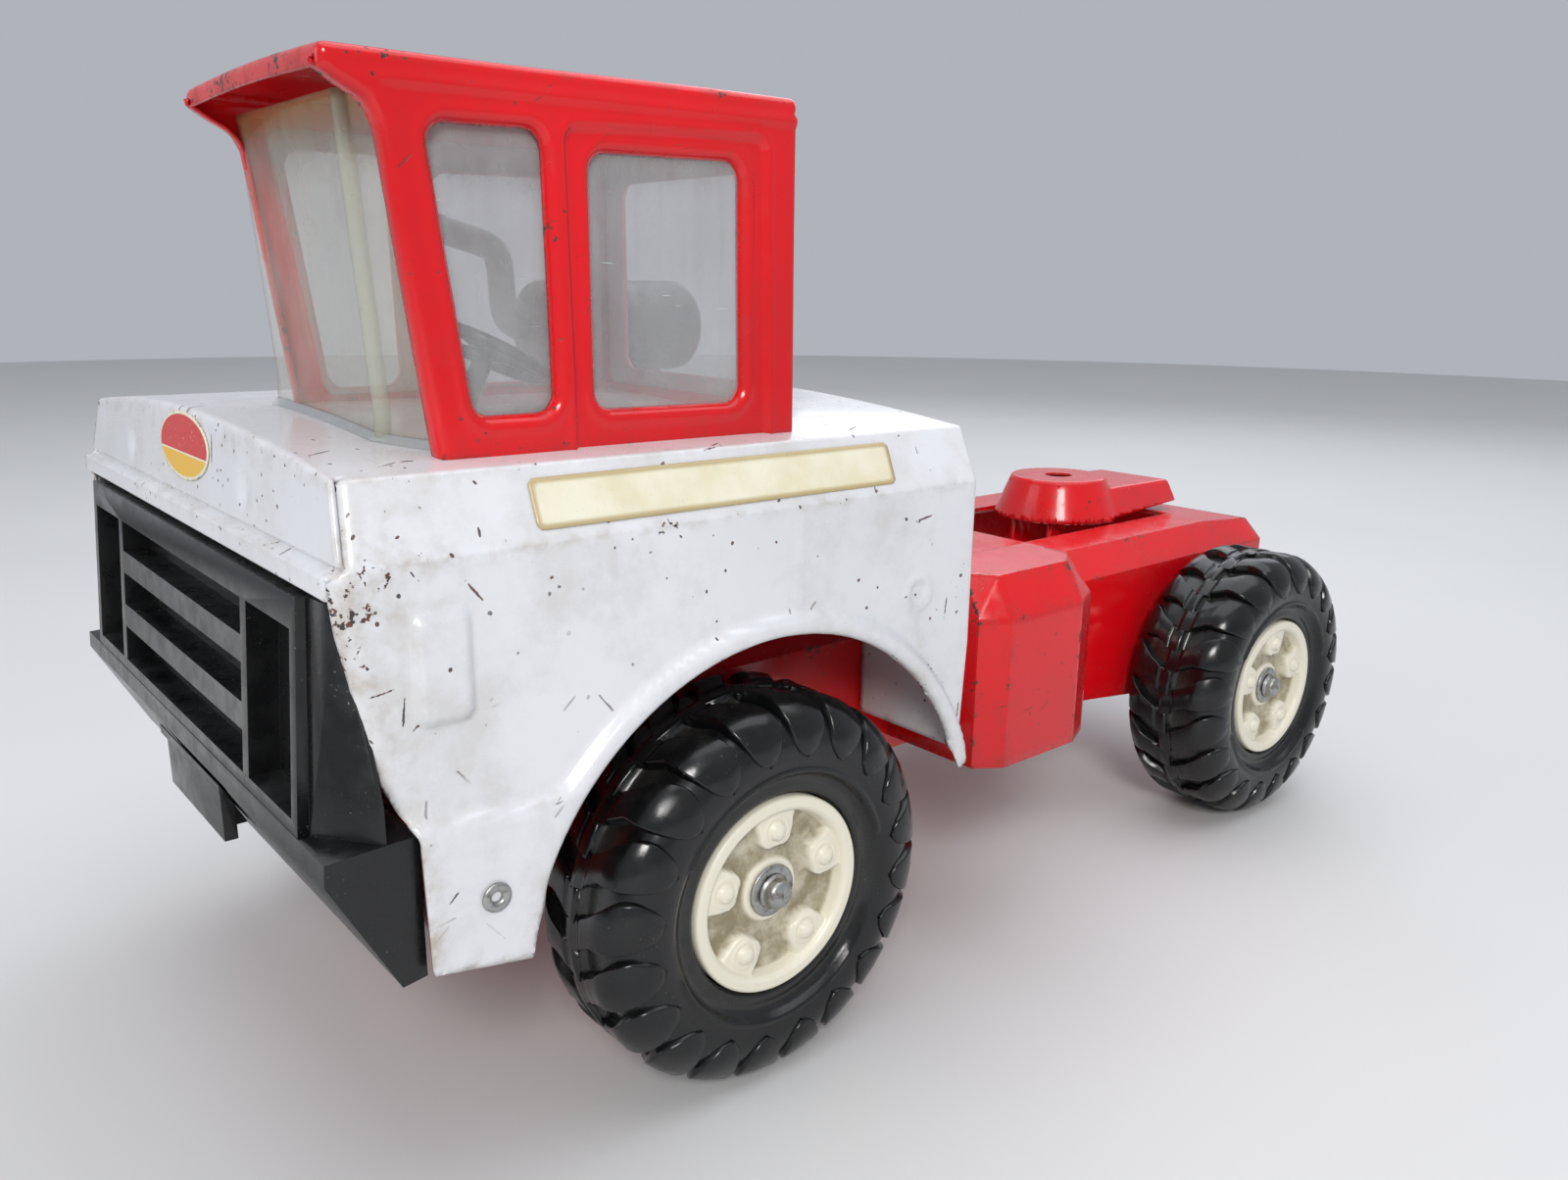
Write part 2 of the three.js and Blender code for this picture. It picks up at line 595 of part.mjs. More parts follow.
function addAxle(name, x, faceY) {
  const reach = faceY + BOSS_FACE + 2 * GAP + 0.8 + 1.6;
  piece(`${name}_axle`, rodAlongY(x, AXLE_Z, AXLE_R, -reach, reach), steel());
  for (const [side, s] of SIDES) {
    const wheel = new THREE.Group();
    wheel.position.set(x, s * faceY, AXLE_Z);
    wheel.rotation.z = s > 0 ? 0 : Math.PI;
    truck.add(wheel);
    piece(`${name}_${side}_tyre`, tyre(), tyreBlack(), wheel);
    piece(`${name}_${side}_hub`, hub(CHASSIS_HALF + 0.8 - faceY), ivoryPlastic(), wheel);
    piece(`${name}_${side}_washer`, washer(), steel(), wheel);
    piece(`${name}_${side}_axle_cap`, axleCap(), steel(), wheel);
  }
}

// ---------------------------------------------------------------- small pieces
// eyelet rivet that holds the lower panel to the chassis flange
function bodyRivet(side) {
  const head = rodAlongY(RIVET_X, RIVET_Z, 3.4, FLARE_HALF + GAP, FLARE_HALF + 1.1, 20);
  const shank = rodAlongY(RIVET_X, RIVET_Z, 1.7, BODY_HALF - 4, FLARE_HALF + 0.6, 16);
  const tube = rodAlongY(RIVET_X, RIVET_Z, 1, BODY_HALF - 6, FLARE_HALF + 3, 12);
  const rivet = cut(join(head, shank), tube);
  return side > 0 ? rivet : rivet.mirror([0, 1, 0]);
}

const LABEL = 0.4;

// blank printed strip on the bevel between hood top and side
function sideLabel(s) {
  const slope = Math.atan2(BODY_HALF - HOOD_EDGE_HALF, HOOD_EDGE_Z - HOOD_CREASE_Z);
  const strip = extruded(roundedOutline(-41, 66, -5.6, 5.6, 1.5), LABEL);
  strip.rotateX(Math.PI / 2);
  strip.rotateX(-slope);
  strip.translate(0, 100.25, 166.2);
  const label = cut(solid(strip), hoodKeepout());
  return s > 0 ? label : label.mirror([0, 1, 0]);
}

const BADGE_Z = 170.6;
const BADGE_HALF_W = 21;
const BADGE_HALF_H = 8.4;

// wide oval badge on the nose panel
function noseBadge() {
  const oval = new THREE.Shape();
  oval.absellipse(0, BADGE_Z, BADGE_HALF_W, BADGE_HALF_H, 0, 2 * Math.PI);
  const badge = alongX(oval, NOSE_TOP_X, NOSE_TOP_X + 4);
  const topZ = HOOD_EDGE_Z + HOOD_CROWN;
  const front = (off) => alongY([
    [90, 150], [NOSE_CREASE_X + off, 158], [NOSE_TOP_X + off, topZ], [90, topZ],
  ], -40, 40);
  return cut(badge.intersect(front(GAP + LABEL)), front(GAP));
}

// ---------------------------------------------------------------- assembly
piece("chassis_frame", chassisFrame(), redPaint());
for (const [side, s] of SIDES) {
  piece(`saddle_tank_${side}`, saddleTank(s), redPaint());
}
piece("body_shell", bodyShell(), whitePaint());
piece("grille_bumper", grilleBumper(), blackPlastic());
piece("plate_block", plateBlock(), blackPlastic());
piece("cab_shell", cabShell(), redPaint());
piece("windshield", windshield(), clearPlastic());
piece("side_window_left", sidePane(CAB_LEFT_Y - SHEET - GAP - GLASS, CAB_LEFT_Y - SHEET - GAP), clearPlastic());
piece("side_window_right", sidePane(CAB_RIGHT_Y + SHEET + GAP, CAB_RIGHT_Y + SHEET + GAP + GLASS), clearPlastic());
piece("rear_window", rearPane(), clearPlastic());
piece("steering_column", steeringColumn(), blackPlastic());
piece("steering_wheel", steeringWheel(), blackPlastic());
piece("air_cleaner", airCleaner(), blackPlastic());
piece("intake_pipe", intakePipe(), blackPlastic());
piece("coupling_bracket", plateBracket(), redPaint());
piece("coupling_pin", platePin(), steel());
piece("coupling_plate", couplingPlate(), redPaint());
addAxle("front", 0, FRONT_TYRE_FACE_Y);
addAxle("rear", REAR_AXLE_X, REAR_TYRE_FACE_Y);
for (const [side, s] of SIDES) {
  piece(`body_rivet_${side}`, bodyRivet(s), steel());
  piece(`side_label_${side}`, sideLabel(s), paper());
}
piece("nose_badge", noseBadge(), paper());

// origin under the middle of the footprint: from the bumper face to the back of the rear tyres
truck.position.x = -(FACE_BOTTOM[0] + REAR_AXLE_X - TYRE_R) / 2;

export default truck;
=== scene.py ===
# Looks of the toy semi tractor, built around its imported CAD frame. Lengths in the helpers are
# millimetres measured from the front axle, as in the CAD source; they become metres in make().
import json
import math

import bmesh
import bpy
import numpy as np
from mathutils import Matrix, Vector


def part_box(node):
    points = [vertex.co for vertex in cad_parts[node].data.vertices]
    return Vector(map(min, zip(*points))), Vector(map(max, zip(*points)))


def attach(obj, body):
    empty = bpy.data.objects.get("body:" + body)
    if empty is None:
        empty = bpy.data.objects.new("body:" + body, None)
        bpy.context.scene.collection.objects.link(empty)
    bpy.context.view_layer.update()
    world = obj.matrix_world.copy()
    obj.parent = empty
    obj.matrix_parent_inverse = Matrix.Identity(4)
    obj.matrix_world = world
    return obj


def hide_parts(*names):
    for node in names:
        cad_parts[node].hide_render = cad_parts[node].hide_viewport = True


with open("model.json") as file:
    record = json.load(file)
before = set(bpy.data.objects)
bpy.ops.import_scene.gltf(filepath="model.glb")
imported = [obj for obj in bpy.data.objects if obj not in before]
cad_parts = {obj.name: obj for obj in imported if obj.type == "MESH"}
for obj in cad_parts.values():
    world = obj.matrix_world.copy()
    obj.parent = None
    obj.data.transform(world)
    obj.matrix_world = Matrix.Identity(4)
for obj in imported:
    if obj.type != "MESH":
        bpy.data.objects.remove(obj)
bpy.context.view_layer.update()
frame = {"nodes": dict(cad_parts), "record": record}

MM = 0.001
BODY_OF = {n: b for b, ns in frame["record"]["behaviour"]["bodies"].items() for n in ns}


def middle(node):
    low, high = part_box(node)
    return (low + high) / 2


AXLE = middle("front_axle")
SHIFT = np.array([AXLE.x / MM, 0.0, 0.0])
TYRE_W = 40.0
RIM_R = 27.4  # where tyre and hub meet

BODY_HALF = 103.0
BODY_REAR_X = -73.0
HOOD_EDGE_HALF = 96.2
HOOD_EDGE_Z = 174.2
HOOD_EDGE_REAR_Z = 172.6
HOOD_CROWN = 5.6
HOOD_CREASE_Z = 157.7
NOSE_TOP_X = 106.6
NOSE_CREASE_X = 108.7
NOSE_LIP_X = 111.4
ARCH = (2.0, 53.0, 72.5)
CAB_LEFT_Y = 88.0
CAB_RIGHT_Y = 1.5
CAB_TOP_Z = 254.8
CAB_REAR_X = -17.0
QUARTER = math.pi / 2


# ------------------------------------------------------------------ small maths
def smooth(x, low, high):
    t = np.clip((x - low) / (high - low), 0, 1)
    return t * t * (3 - 2 * t)


def soft_max(a, b, k):
    h = np.clip(0.5 + 0.5 * (a - b) / k, 0, 1)
    return b + (a - b) * h + k * h * (1 - h)


def inset(points, amount):
    """the anticlockwise polygon with every side moved inwards"""
    out = []
    for before, here, after in zip(np.roll(points, 1, 0), points, np.roll(points, -1, 0)):
        a = (here - before) / np.linalg.norm(here - before)
        b = (after - here) / np.linalg.norm(after - here)
        na, nb = np.array([-a[1], a[0]]), np.array([-b[1], b[0]])
        out.append(here + (na + nb) * amount / (1 + na @ nb))
    return np.array(out)


def polygon(points, corner=0.0):
    """signed distance to a polygon, positive inside, its outer corners rounded"""
    pts = np.array(points, float)
    x, y = pts.T
    if np.sum(x * np.roll(y, -1) - np.roll(x, -1) * y) < 0:
        pts = pts[::-1]
    if corner:
        pts = inset(pts, corner)

    def distance(u, v):
        best = np.full(np.shape(u), 1e9)
        inside = np.zeros(np.shape(u), bool)
        for a, b in zip(pts, np.roll(pts, -1, 0)):
            d = b - a
            t = np.clip(((u - a[0]) * d[0] + (v - a[1]) * d[1]) / (d @ d), 0, 1)
            best = np.minimum(best, (u - a[0] - t * d[0]) ** 2 + (v - a[1] - t * d[1]) ** 2)
            if a[1] != b[1]:
                inside ^= ((a[1] > v) != (b[1] > v)) & (u < d[0] * (v - a[1]) / d[1] + a[0])
        return np.where(inside, 1, -1) * np.sqrt(best) + corner

    return distance


def box_distance(u, v, cu, cv, hu, hv, r):
    """signed distance to a rounded rectangle, positive inside"""
    du, dv = np.abs(u - cu) - hu + r, np.abs(v - cv) - hv + r
    outside = np.hypot(np.maximum(du, 0), np.maximum(dv, 0)) + np.minimum(np.maximum(du, dv), 0)
    return r - outside


def gradient(f, u, v, h=0.01):
    return (f(u + h, v) - f(u - h, v)) / (2 * h), (f(u, v + h) - f(u, v - h)) / (2 * h)


def lines(*spans):
    """grid lines: spans of (low, high, step), joined"""
    parts = [np.linspace(a, b, max(2, int(round((b - a) / s)) + 1)) for a, b, s in spans]
    return np.unique(np.round(np.concatenate(parts), 4))


def fillet_path(points, radii, step=1.2, arc=5):
    """points along a polyline with its corners rounded"""
    pts = np.array(points, float)
    out = [pts[0]]
    for i in range(1, len(pts) - 1):
        a, b, c = pts[i - 1], pts[i], pts[i + 1]
        r = radii[i]
        ab, bc = (a - b) / np.linalg.norm(a - b), (c - b) / np.linalg.norm(c - b)
        turn = math.pi - math.acos(np.clip(ab @ bc, -1, 1))
        cut = r * math.tan(turn / 2)
        start, end = b + ab * cut, b + bc * cut
        if r <= 0 or turn < 1e-4:
            out.append(b)
            continue
        for t in np.linspace(0, 1, arc):
            p = (1 - t) ** 2 * start + 2 * t * (1 - t) * b + t * t * end
            out.append(p)
    out.append(pts[-1])
    dense = [out[0]]
    for p in out[1:]:
        n = max(1, int(round(np.linalg.norm(p - dense[-1]) / step)))
        q = dense[-1]
        dense += [q + (p - q) * k / n for k in range(1, n + 1)]
    return np.array(dense)


class Section:
    """a path in the YZ plane, by its own length, with its outward normal"""

    def __init__(self, points, radii, step=1.2, arc=5):
        self.path = fillet_path(points, radii, step, arc)
        steps = np.linalg.norm(np.diff(self.path, axis=0), axis=1)
        self.s = np.concatenate([[0], np.cumsum(steps)])
        t = np.gradient(self.path, self.s, axis=0)
        t /= np.linalg.norm(t, axis=1)[:, None]
        self.tangent = t

    def at(self, v):
        return np.interp(v, self.s, self.path[:, 0]), np.interp(v, self.s, self.path[:, 1])

    def slope(self, v):
        return np.interp(v, self.s, self.tangent[:, 0]), np.interp(v, self.s, self.tangent[:, 1])


# ------------------------------------------------------------------ meshes
def stitch(valid, flip=False):
    """quads over the kept grid points, and triangles where only three are kept"""
    n, m = valid.shape
    index = np.arange(n * m).reshape(n, m)
    corners = np.stack([index[:-1, :-1], index[1:, :-1], index[1:, 1:], index[:-1, 1:]], -1).reshape(-1, 4)
    ok = valid.reshape(-1)[corners]
    faces = []
    for quad, good in zip(corners.tolist(), ok.tolist()):
        kept = [i for i, g in zip(quad, good) if g]
        if len(kept) >= 3:
            faces.append(kept[::-1] if flip else kept)
    return faces


def skin(us, vs, base, keep=None, rolls=(), lift=None):
    """A pressed sheet: a grid put in place by base, cut along keep = 0, its edges rolled inwards.
    Each roll is (distance, radius, straight, turn): a flange that bends by turn at that radius."""
    U, V = np.meshgrid(us, vs, indexing="ij")
    du = np.gradient(us)[:, None] + 0 * V
    dv = np.gradient(vs)[None, :] + 0 * U
    valid = np.ones(U.shape, bool)
    D = np.full(U.shape, 99.0)
    if keep is not None:
        for _ in range(2):
            D = keep(U, V)
            gu, gv = gradient(keep, U, V)
            norm = np.maximum(gu ** 2 + gv ** 2, 0.2)
            reach = 0.56 * np.maximum(np.abs(gu) * du, np.abs(gv) * dv)
            near = (np.abs(D) < reach).astype(float)
            U, V = U - near * D * gu / norm, V - near * D * gv / norm
        D = keep(U, V)
        valid = D > -0.02
    u, v, depth = U.copy(), V.copy(), 0 * U
    for distance, radius, _, turn, *share in rolls:
        much = share[0](U, V) if share else 1.0
        d = distance(U, V)
        gu, gv = gradient(distance, U, V)
        s = np.clip(radius - d, 0, None)
        angle = np.minimum(s / radius, turn)
        rest = np.clip(s - radius * turn, 0, None)
        p = radius - radius * np.sin(angle) - rest * math.cos(turn)
        shift = np.where(d < radius, p - d, 0) * much
        u, v = u + shift * gu, v + shift * gv
        depth = depth + (radius * (1 - np.cos(angle)) + rest * math.sin(turn)) * much
    P, N = base(u, v)
    if lift is not None:
        P = P + N * lift(U, V)[..., None]
    P = P - N * depth[..., None]
    faces = stitch(valid)
    if faces:
        f = faces[len(faces) // 2]
        a, b, c = (P.reshape(-1, 3)[i] for i in f[:3])
        if np.cross(b - a, c - a) @ N.reshape(-1, 3)[f[0]] < 0:
            faces = [g[::-1] for g in faces]
    edge = np.exp(-np.clip(D, 0, None) / 3.0)
    return P.reshape(-1, 3), faces, edge.reshape(-1)


def mirrored(part):
    P, faces, wear = part
    return P * np.array([1, -1, 1]), [f[::-1] for f in faces], wear


def grid(P, closed_u=False, closed_v=False, flip=False):
    """faces over an (n, m, 3) grid of points"""
    n, m = P.shape[:2]
    faces = []
    for i in range(n if closed_u else n - 1):
        for j in range(m if closed_v else m - 1):
            a, b = i * m + j, ((i + 1) % n) * m + j
            c, d = ((i + 1) % n) * m + (j + 1) % m, i * m + (j + 1) % m
            faces.append([a, d, c, b] if flip else [a, b, c, d])
    return P.reshape(-1, 3), faces, np.zeros(n * m)


def lathe(profile, steps=64, closed=True):
    """(radius, y) outline turned about the Y axis"""
    angles = np.linspace(0, 2 * math.pi, steps, endpoint=False)
    r, y = np.array(profile, float).T
    P = np.stack([np.cos(angles)[:, None] * r, 0 * angles[:, None] + y, np.sin(angles)[:, None] * r], -1)
    return grid(P, closed_u=True, closed_v=closed)


def joined(*parts):
    points, faces, wear, count = [], [], [], 0
    for P, F, W in parts:
        points.append(P)
        wear.append(W)
        faces += [[i + count for i in f] for f in F]
        count += len(P)
    return np.concatenate(points), faces, np.concatenate(wear)


def make(name, part, material, slot, nodes, body=None, merge=0.02, thick=0.0, bevel=0.0, segments=2,
         move=None, mesh=None, closed=False):
    """a named piece that rides on the body of the CAD nodes it stands for"""
    if mesh is None:
        P, faces, wear = part
        used = np.unique(np.concatenate([np.array(f) for f in faces]))
        renumber = np.full(len(P), -1)
        renumber[used] = np.arange(len(used))
        mesh = bpy.data.meshes.new(name)
        P = (P[used] + SHIFT) * MM if move is None else P[used] * MM
        mesh.from_pydata(P.tolist(), [], [[int(renumber[i]) for i in f] for f in faces])
        attribute = mesh.attributes.new("wear", "FLOAT", "POINT")
        attribute.data.foreach_set("value", wear[used].astype(np.float32))
        bm = bmesh.new()
        bm.from_mesh(mesh)
        bmesh.ops.remove_doubles(bm, verts=bm.verts, dist=merge * MM)
        bmesh.ops.dissolve_degenerate(bm, edges=bm.edges, dist=1e-7)
        loose = [v for v in bm.verts if not v.link_faces]
        bmesh.ops.delete(bm, geom=loose, context="VERTS")
        if closed:
            bmesh.ops.recalc_face_normals(bm, faces=bm.faces)
        bm.to_mesh(mesh)
        bm.free()
        mesh.materials.append(material)
    obj = bpy.data.objects.new(name, mesh)
    bpy.context.scene.collection.objects.link(obj)
    mesh.shade_smooth()
    if move is not None:
        obj.matrix_world = move
    if thick:
        shell = obj.modifiers.new("sheet", "SOLIDIFY")
        shell.thickness = thick * MM
        shell.offset = -1
        shell.use_even_offset = False
        shell.use_quality_normals = True
    if bevel:
        round_off = obj.modifiers.new("edges", "BEVEL")
        round_off.width = bevel * MM
        round_off.segments = segments
        round_off.limit_method = "ANGLE"
        round_off.angle_limit = math.radians(34)
        round_off.use_clamp_overlap = True
        round_off.harden_normals = True
    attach(obj, body or BODY_OF[nodes[0]])
    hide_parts(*nodes)
    return obj


def refined(node, material, slot, bevel, segments=2, cuts=0.0):
    """a CAD solid with its edges rounded, as a pressing or moulding has them"""
    mesh = frame["nodes"][node].data.copy()
    mesh.materials.clear()
    mesh.materials.append(material)
    bm = bmesh.new()
    bm.from_mesh(mesh)
    bmesh.ops.remove_doubles(bm, verts=bm.verts, dist=2e-6)
    bmesh.ops.dissolve_limit(bm, angle_limit=math.radians(2), verts=bm.verts, edges=bm.edges)
    if cuts:
        wear = bm.verts.layers.float.new("wear")
        sharp = [(e.verts[0].co.copy(), e.verts[1].co.copy()) for e in bm.edges
                 if len(e.link_faces) == 2 and e.calc_face_angle(0) > math.radians(20)]
        ends = np.array([[tuple(a), tuple(b)] for a, b in sharp])
        for axis in range(3):
            span = [v.co[axis] for v in bm.verts]
            normal = [float(axis == k) for k in range(3)]
            for place in np.arange(min(span) + cuts * MM, max(span), cuts * MM):
                point = [place * n for n in normal]
                bmesh.ops.bisect_plane(bm, geom=list(bm.verts) + list(bm.edges) + list(bm.faces), dist=1e-6,
                                       plane_co=point, plane_no=normal)
        a, b = ends[:, 0], ends[:, 1]
        along = b - a
        length = np.maximum((along ** 2).sum(1), 1e-12)
        for v in bm.verts:
            p = np.array(v.co)
            t = np.clip(((p - a) * along).sum(1) / length, 0, 1)
            gap = np.sqrt((((p - a) - t[:, None] * along) ** 2).sum(1).min())
            v[wear] = math.exp(-gap / (1.8 * MM))
    bm.to_mesh(mesh)
    bm.free()
    return make(node + "_formed", None, material, slot, [node], mesh=mesh, bevel=bevel, segments=segments)


# ------------------------------------------------------------------ materials
class Nodes:
    """short names for building a material's node tree"""

    def __init__(self, name):
        self.material = bpy.data.materials.new(name)
        self.material.use_nodes = True
        self.tree = self.material.node_tree
        self.shader = self.tree.nodes["Principled BSDF"]
        self.coords = self.add("ShaderNodeTexCoord").outputs["Object"]

    def add(self, kind, **settings):
        node = self.tree.nodes.new(kind)
        for key, value in settings.items():
            setattr(node, key, value)
        return node

    def link(self, source, target):
        if isinstance(source, (int, float)):
            target.default_value = source
        elif isinstance(source, tuple):
            target.default_value = (*source, 1.0) if len(source) == 3 else source
        else:
            self.tree.links.new(source, target)

    def noise(self, scale, detail=4.0, rough=0.55, stretch=None, offset=(0, 0, 0), turn=(0, 0, 0)):
        where = self.coords
        mapping = self.add("ShaderNodeMapping")
        self.link(where, mapping.inputs["Vector"])
        mapping.inputs["Scale"].default_value = stretch or (1, 1, 1)
        mapping.inputs["Location"].default_value = offset
        mapping.inputs["Rotation"].default_value = turn
        node = self.add("ShaderNodeTexNoise")
        self.link(mapping.outputs[0], node.inputs["Vector"])
        node.inputs["Scale"].default_value = scale
        node.inputs["Detail"].default_value = detail
        node.inputs["Roughness"].default_value = rough
        return node.outputs["Fac"]

    def ticks(self, spacing, turn, size=0.085, ragged=0.06, offset=(0, 0, 0)):
        """scattered long thin marks: cells in a stretched and turned space"""
        mapping = self.add("ShaderNodeMapping", vector_type="TEXTURE")
        self.link(self.coords, mapping.inputs["Vector"])
        mapping.inputs["Location"].default_value = offset
        mapping.inputs["Rotation"].default_value = turn
        mapping.inputs["Scale"].default_value = spacing
        node = self.add("ShaderNodeTexVoronoi", feature="F1")
        self.link(mapping.outputs[0], node.inputs["Vector"])
        node.inputs["Scale"].default_value = 1.0
        uneven = self.times(self.minus(self.noise(900, 3, 0.6), 0.5), ragged)
        distance = self.plus(node.outputs["Distance"], uneven)
        return self.span(distance, size, size - 0.012)

    def math(self, operation, a, b=0.0, c=0.0, clamp=False):
        node = self.add("ShaderNodeMath", operation=operation, use_clamp=clamp)
        for value, socket in zip((a, b, c), node.inputs):
            self.link(value, socket)
        return node.outputs[0]

    def times(self, a, b, clamp=False):
        return self.math("MULTIPLY", a, b, clamp=clamp)

    def plus(self, a, b, clamp=False):
        return self.math("ADD", a, b, clamp=clamp)

    def minus(self, a, b):
        return self.math("SUBTRACT", a, b)

    def most(self, a, b):
        return self.math("MAXIMUM", a, b)

    def span(self, value, low, high, to_low=0.0, to_high=1.0):
        node = self.add("ShaderNodeMapRange", interpolation_type="SMOOTHSTEP")
        settings = {"Value": value, "From Min": low, "From Max": high, "To Min": to_low, "To Max": to_high}
        for key, v in settings.items():
            self.link(v, node.inputs[key])
        return node.outputs["Result"]

    def mix(self, factor, a, b):
        node = self.add("ShaderNodeMix", data_type="RGBA")
        self.link(factor, node.inputs[0])
        self.link(a, node.inputs[6])
        self.link(b, node.inputs[7])
        return node.outputs[2]

    def attribute(self, name):
        return self.add("ShaderNodeAttribute", attribute_name=name).outputs["Fac"]

    def up(self):
        """how far a face looks up, 0 to 1"""
        normal = self.add("ShaderNodeNewGeometry").outputs["Normal"]
        parts = self.add("ShaderNodeSeparateXYZ")
        self.link(normal, parts.inputs[0])
        return self.most(parts.outputs[2], 0.0)

    def xyz(self):
        parts = self.add("ShaderNodeSeparateXYZ")
        self.link(self.coords, parts.inputs[0])
        return parts.outputs

    def bump(self, height, distance, strength=1.0, after=None):
        node = self.add("ShaderNodeBump")
        node.inputs["Distance"].default_value = distance
        node.inputs["Strength"].default_value = strength
        self.link(height, node.inputs["Height"])
        if after is not None:
            self.link(after, node.inputs["Normal"])
        return node.outputs["Normal"]

    def finish(self, **sockets):
        for key, value in sockets.items():
            self.link(value, self.shader.inputs[key.replace("_", " ")])
        return self.material


TICK = 0.074  # half-size of a scratch, as a share of the spacing between scratches
TICK_RAGGED = 0.1


def enamel(name, paint, deep, chip, dirt, chips=0.5, scratches=0.5, dirty=0.4, specular=0.5,
           coat=0.3):
    """glossy stoved enamel on pressed steel, chipped at its edges, scratched and a little dirty"""
    n = Nodes(name)
    wear = n.attribute("wear")
    fine = n.noise(520, 4, 0.6)
    broad = n.noise(70, 3, 0.5, offset=(3.1, 0.7, 1.9))
    field = n.plus(n.times(fine, 0.6), n.times(broad, 0.4))
    level = n.minus(0.70 - 0.02 * chips, n.times(wear, 0.065 + 0.055 * chips))
    gone = n.span(n.minus(field, level), 0.0, 0.012)
    marks = 0.0
    for k, turn in enumerate((0.15, -0.9, 0.75, 1.45)):
        offset = (0.013 * k, 0.021, 0.017 * k)
        tick = n.ticks((0.052, 0.007, 0.0042), (0.0, turn, 0.1 * k), TICK, TICK_RAGGED, offset)
        marks = n.most(marks, tick)
    for k, turn in enumerate((0.5, -0.7)):
        tick = n.ticks((0.055, 0.004, 0.007), (0.0, 0.0, turn), TICK, TICK_RAGGED, (0.031, 0.017 * k, 0.011))
        marks = n.most(marks, tick)
    specks = n.ticks((0.03, 0.03, 0.026), (0, 0, 0), 0.034, 0.08, (0.3, 0.1, 0.2))
    patch = n.span(n.noise(26, 2, 0.5, offset=(5.0, 2.3, 1.0)), 0.44, 0.56)
    amount = n.times(patch, scratches)
    marks = n.times(n.most(marks, specks), amount, clamp=True)
    cloud = n.span(n.noise(34, 7, 0.72, offset=(0.4, 9.1, 2.6)), 0.44, 0.74)
    runs = n.span(n.noise(150, 5, 0.65, offset=(8, 2, 5)), 0.38, 0.72)
    grime = n.plus(n.times(cloud, 0.8 * dirty),
                   n.times(n.times(wear, runs), 2.0 * dirty), clamp=True)
    tone = n.mix(n.span(n.noise(9, 2, 0.5), 0.35, 0.65), paint, deep)
    colour = n.mix(n.times(grime, 0.62), tone, dirt)
    rust = n.mix(n.span(n.noise(420, 3, 0.5, offset=(5, 5, 5)), 0.42, 0.6), chip, (0.12, 0.045, 0.02))
    bare = n.most(gone, marks)
    colour = n.mix(bare, colour, rust)
    rough = n.plus(n.span(n.noise(120, 5, 0.6, offset=(2, 4, 8)), 0.3, 0.8, 0.14, 0.26),
                   n.times(n.most(bare, grime), 0.4), clamp=True)
    peel = n.bump(n.noise(240, 2, 0.5), 0.00008, 0.3)
    normal = n.bump(n.minus(1.0, bare), 0.00012, 0.6, after=peel)
    n.shader.inputs["Specular IOR Level"].default_value = specular
    n.shader.inputs["Coat Weight"].default_value = coat
    n.shader.inputs["Coat Roughness"].default_value = 0.06
    return n.finish(Base_Color=colour, Roughness=rough, Normal=normal)


def moulding(name, base, dust_and_sheen_colour, rough=(0.32, 0.5), dust_and_sheen_amount=0.5, grain=900, specks=True, hollows=0.0):
    """satin moulded plastic or vinyl, paler on what looks up (dust there and a painted sheen from the light
    above), and specks
    """
    n = Nodes(name)
    cloud = n.span(n.noise(70, 6, 0.7, offset=(1, 2, 3)), 0.38, 0.75)
    # up-facing faces mixed towards the pale colour: partly dust, partly a painted sheen from the light above
    up_dust_and_sheen = n.times(n.span(n.up(), 0.1, 0.95), cloud)
    dust_and_sheen_film = n.times(n.plus(up_dust_and_sheen, n.times(cloud, 0.25)), dust_and_sheen_amount, clamp=True)
    speck = n.span(n.noise(1300, 3, 0.6, offset=(7, 1, 4)), 0.66, 0.72)
    patch = n.span(n.noise(55, 3, 0.6, offset=(4, 8, 1)), 0.5, 0.65)
    speck = n.times(speck, patch) if specks else 0.0
    amount = n.most(n.times(dust_and_sheen_film, 0.35), n.times(speck, 0.7))
    mottle = n.span(n.noise(190, 5, 0.6, offset=(3, 3, 9)), 0.2, 0.7, 0.35, 1.0)
    hollow = n.times(n.attribute("wear"), mottle)
    amount = n.most(amount, n.times(hollow, hollows))
    colour = n.mix(amount, base, dust_and_sheen_colour)
    roughness = n.span(n.noise(160, 5, 0.6), 0.3, 0.75, rough[0], rough[1])
    roughness = n.plus(roughness, n.times(amount, 0.35), clamp=True)
    normal = n.bump(n.noise(grain, 3, 0.6), 0.00006, 0.5)
    return n.finish(Base_Color=colour, Roughness=roughness, Normal=normal)


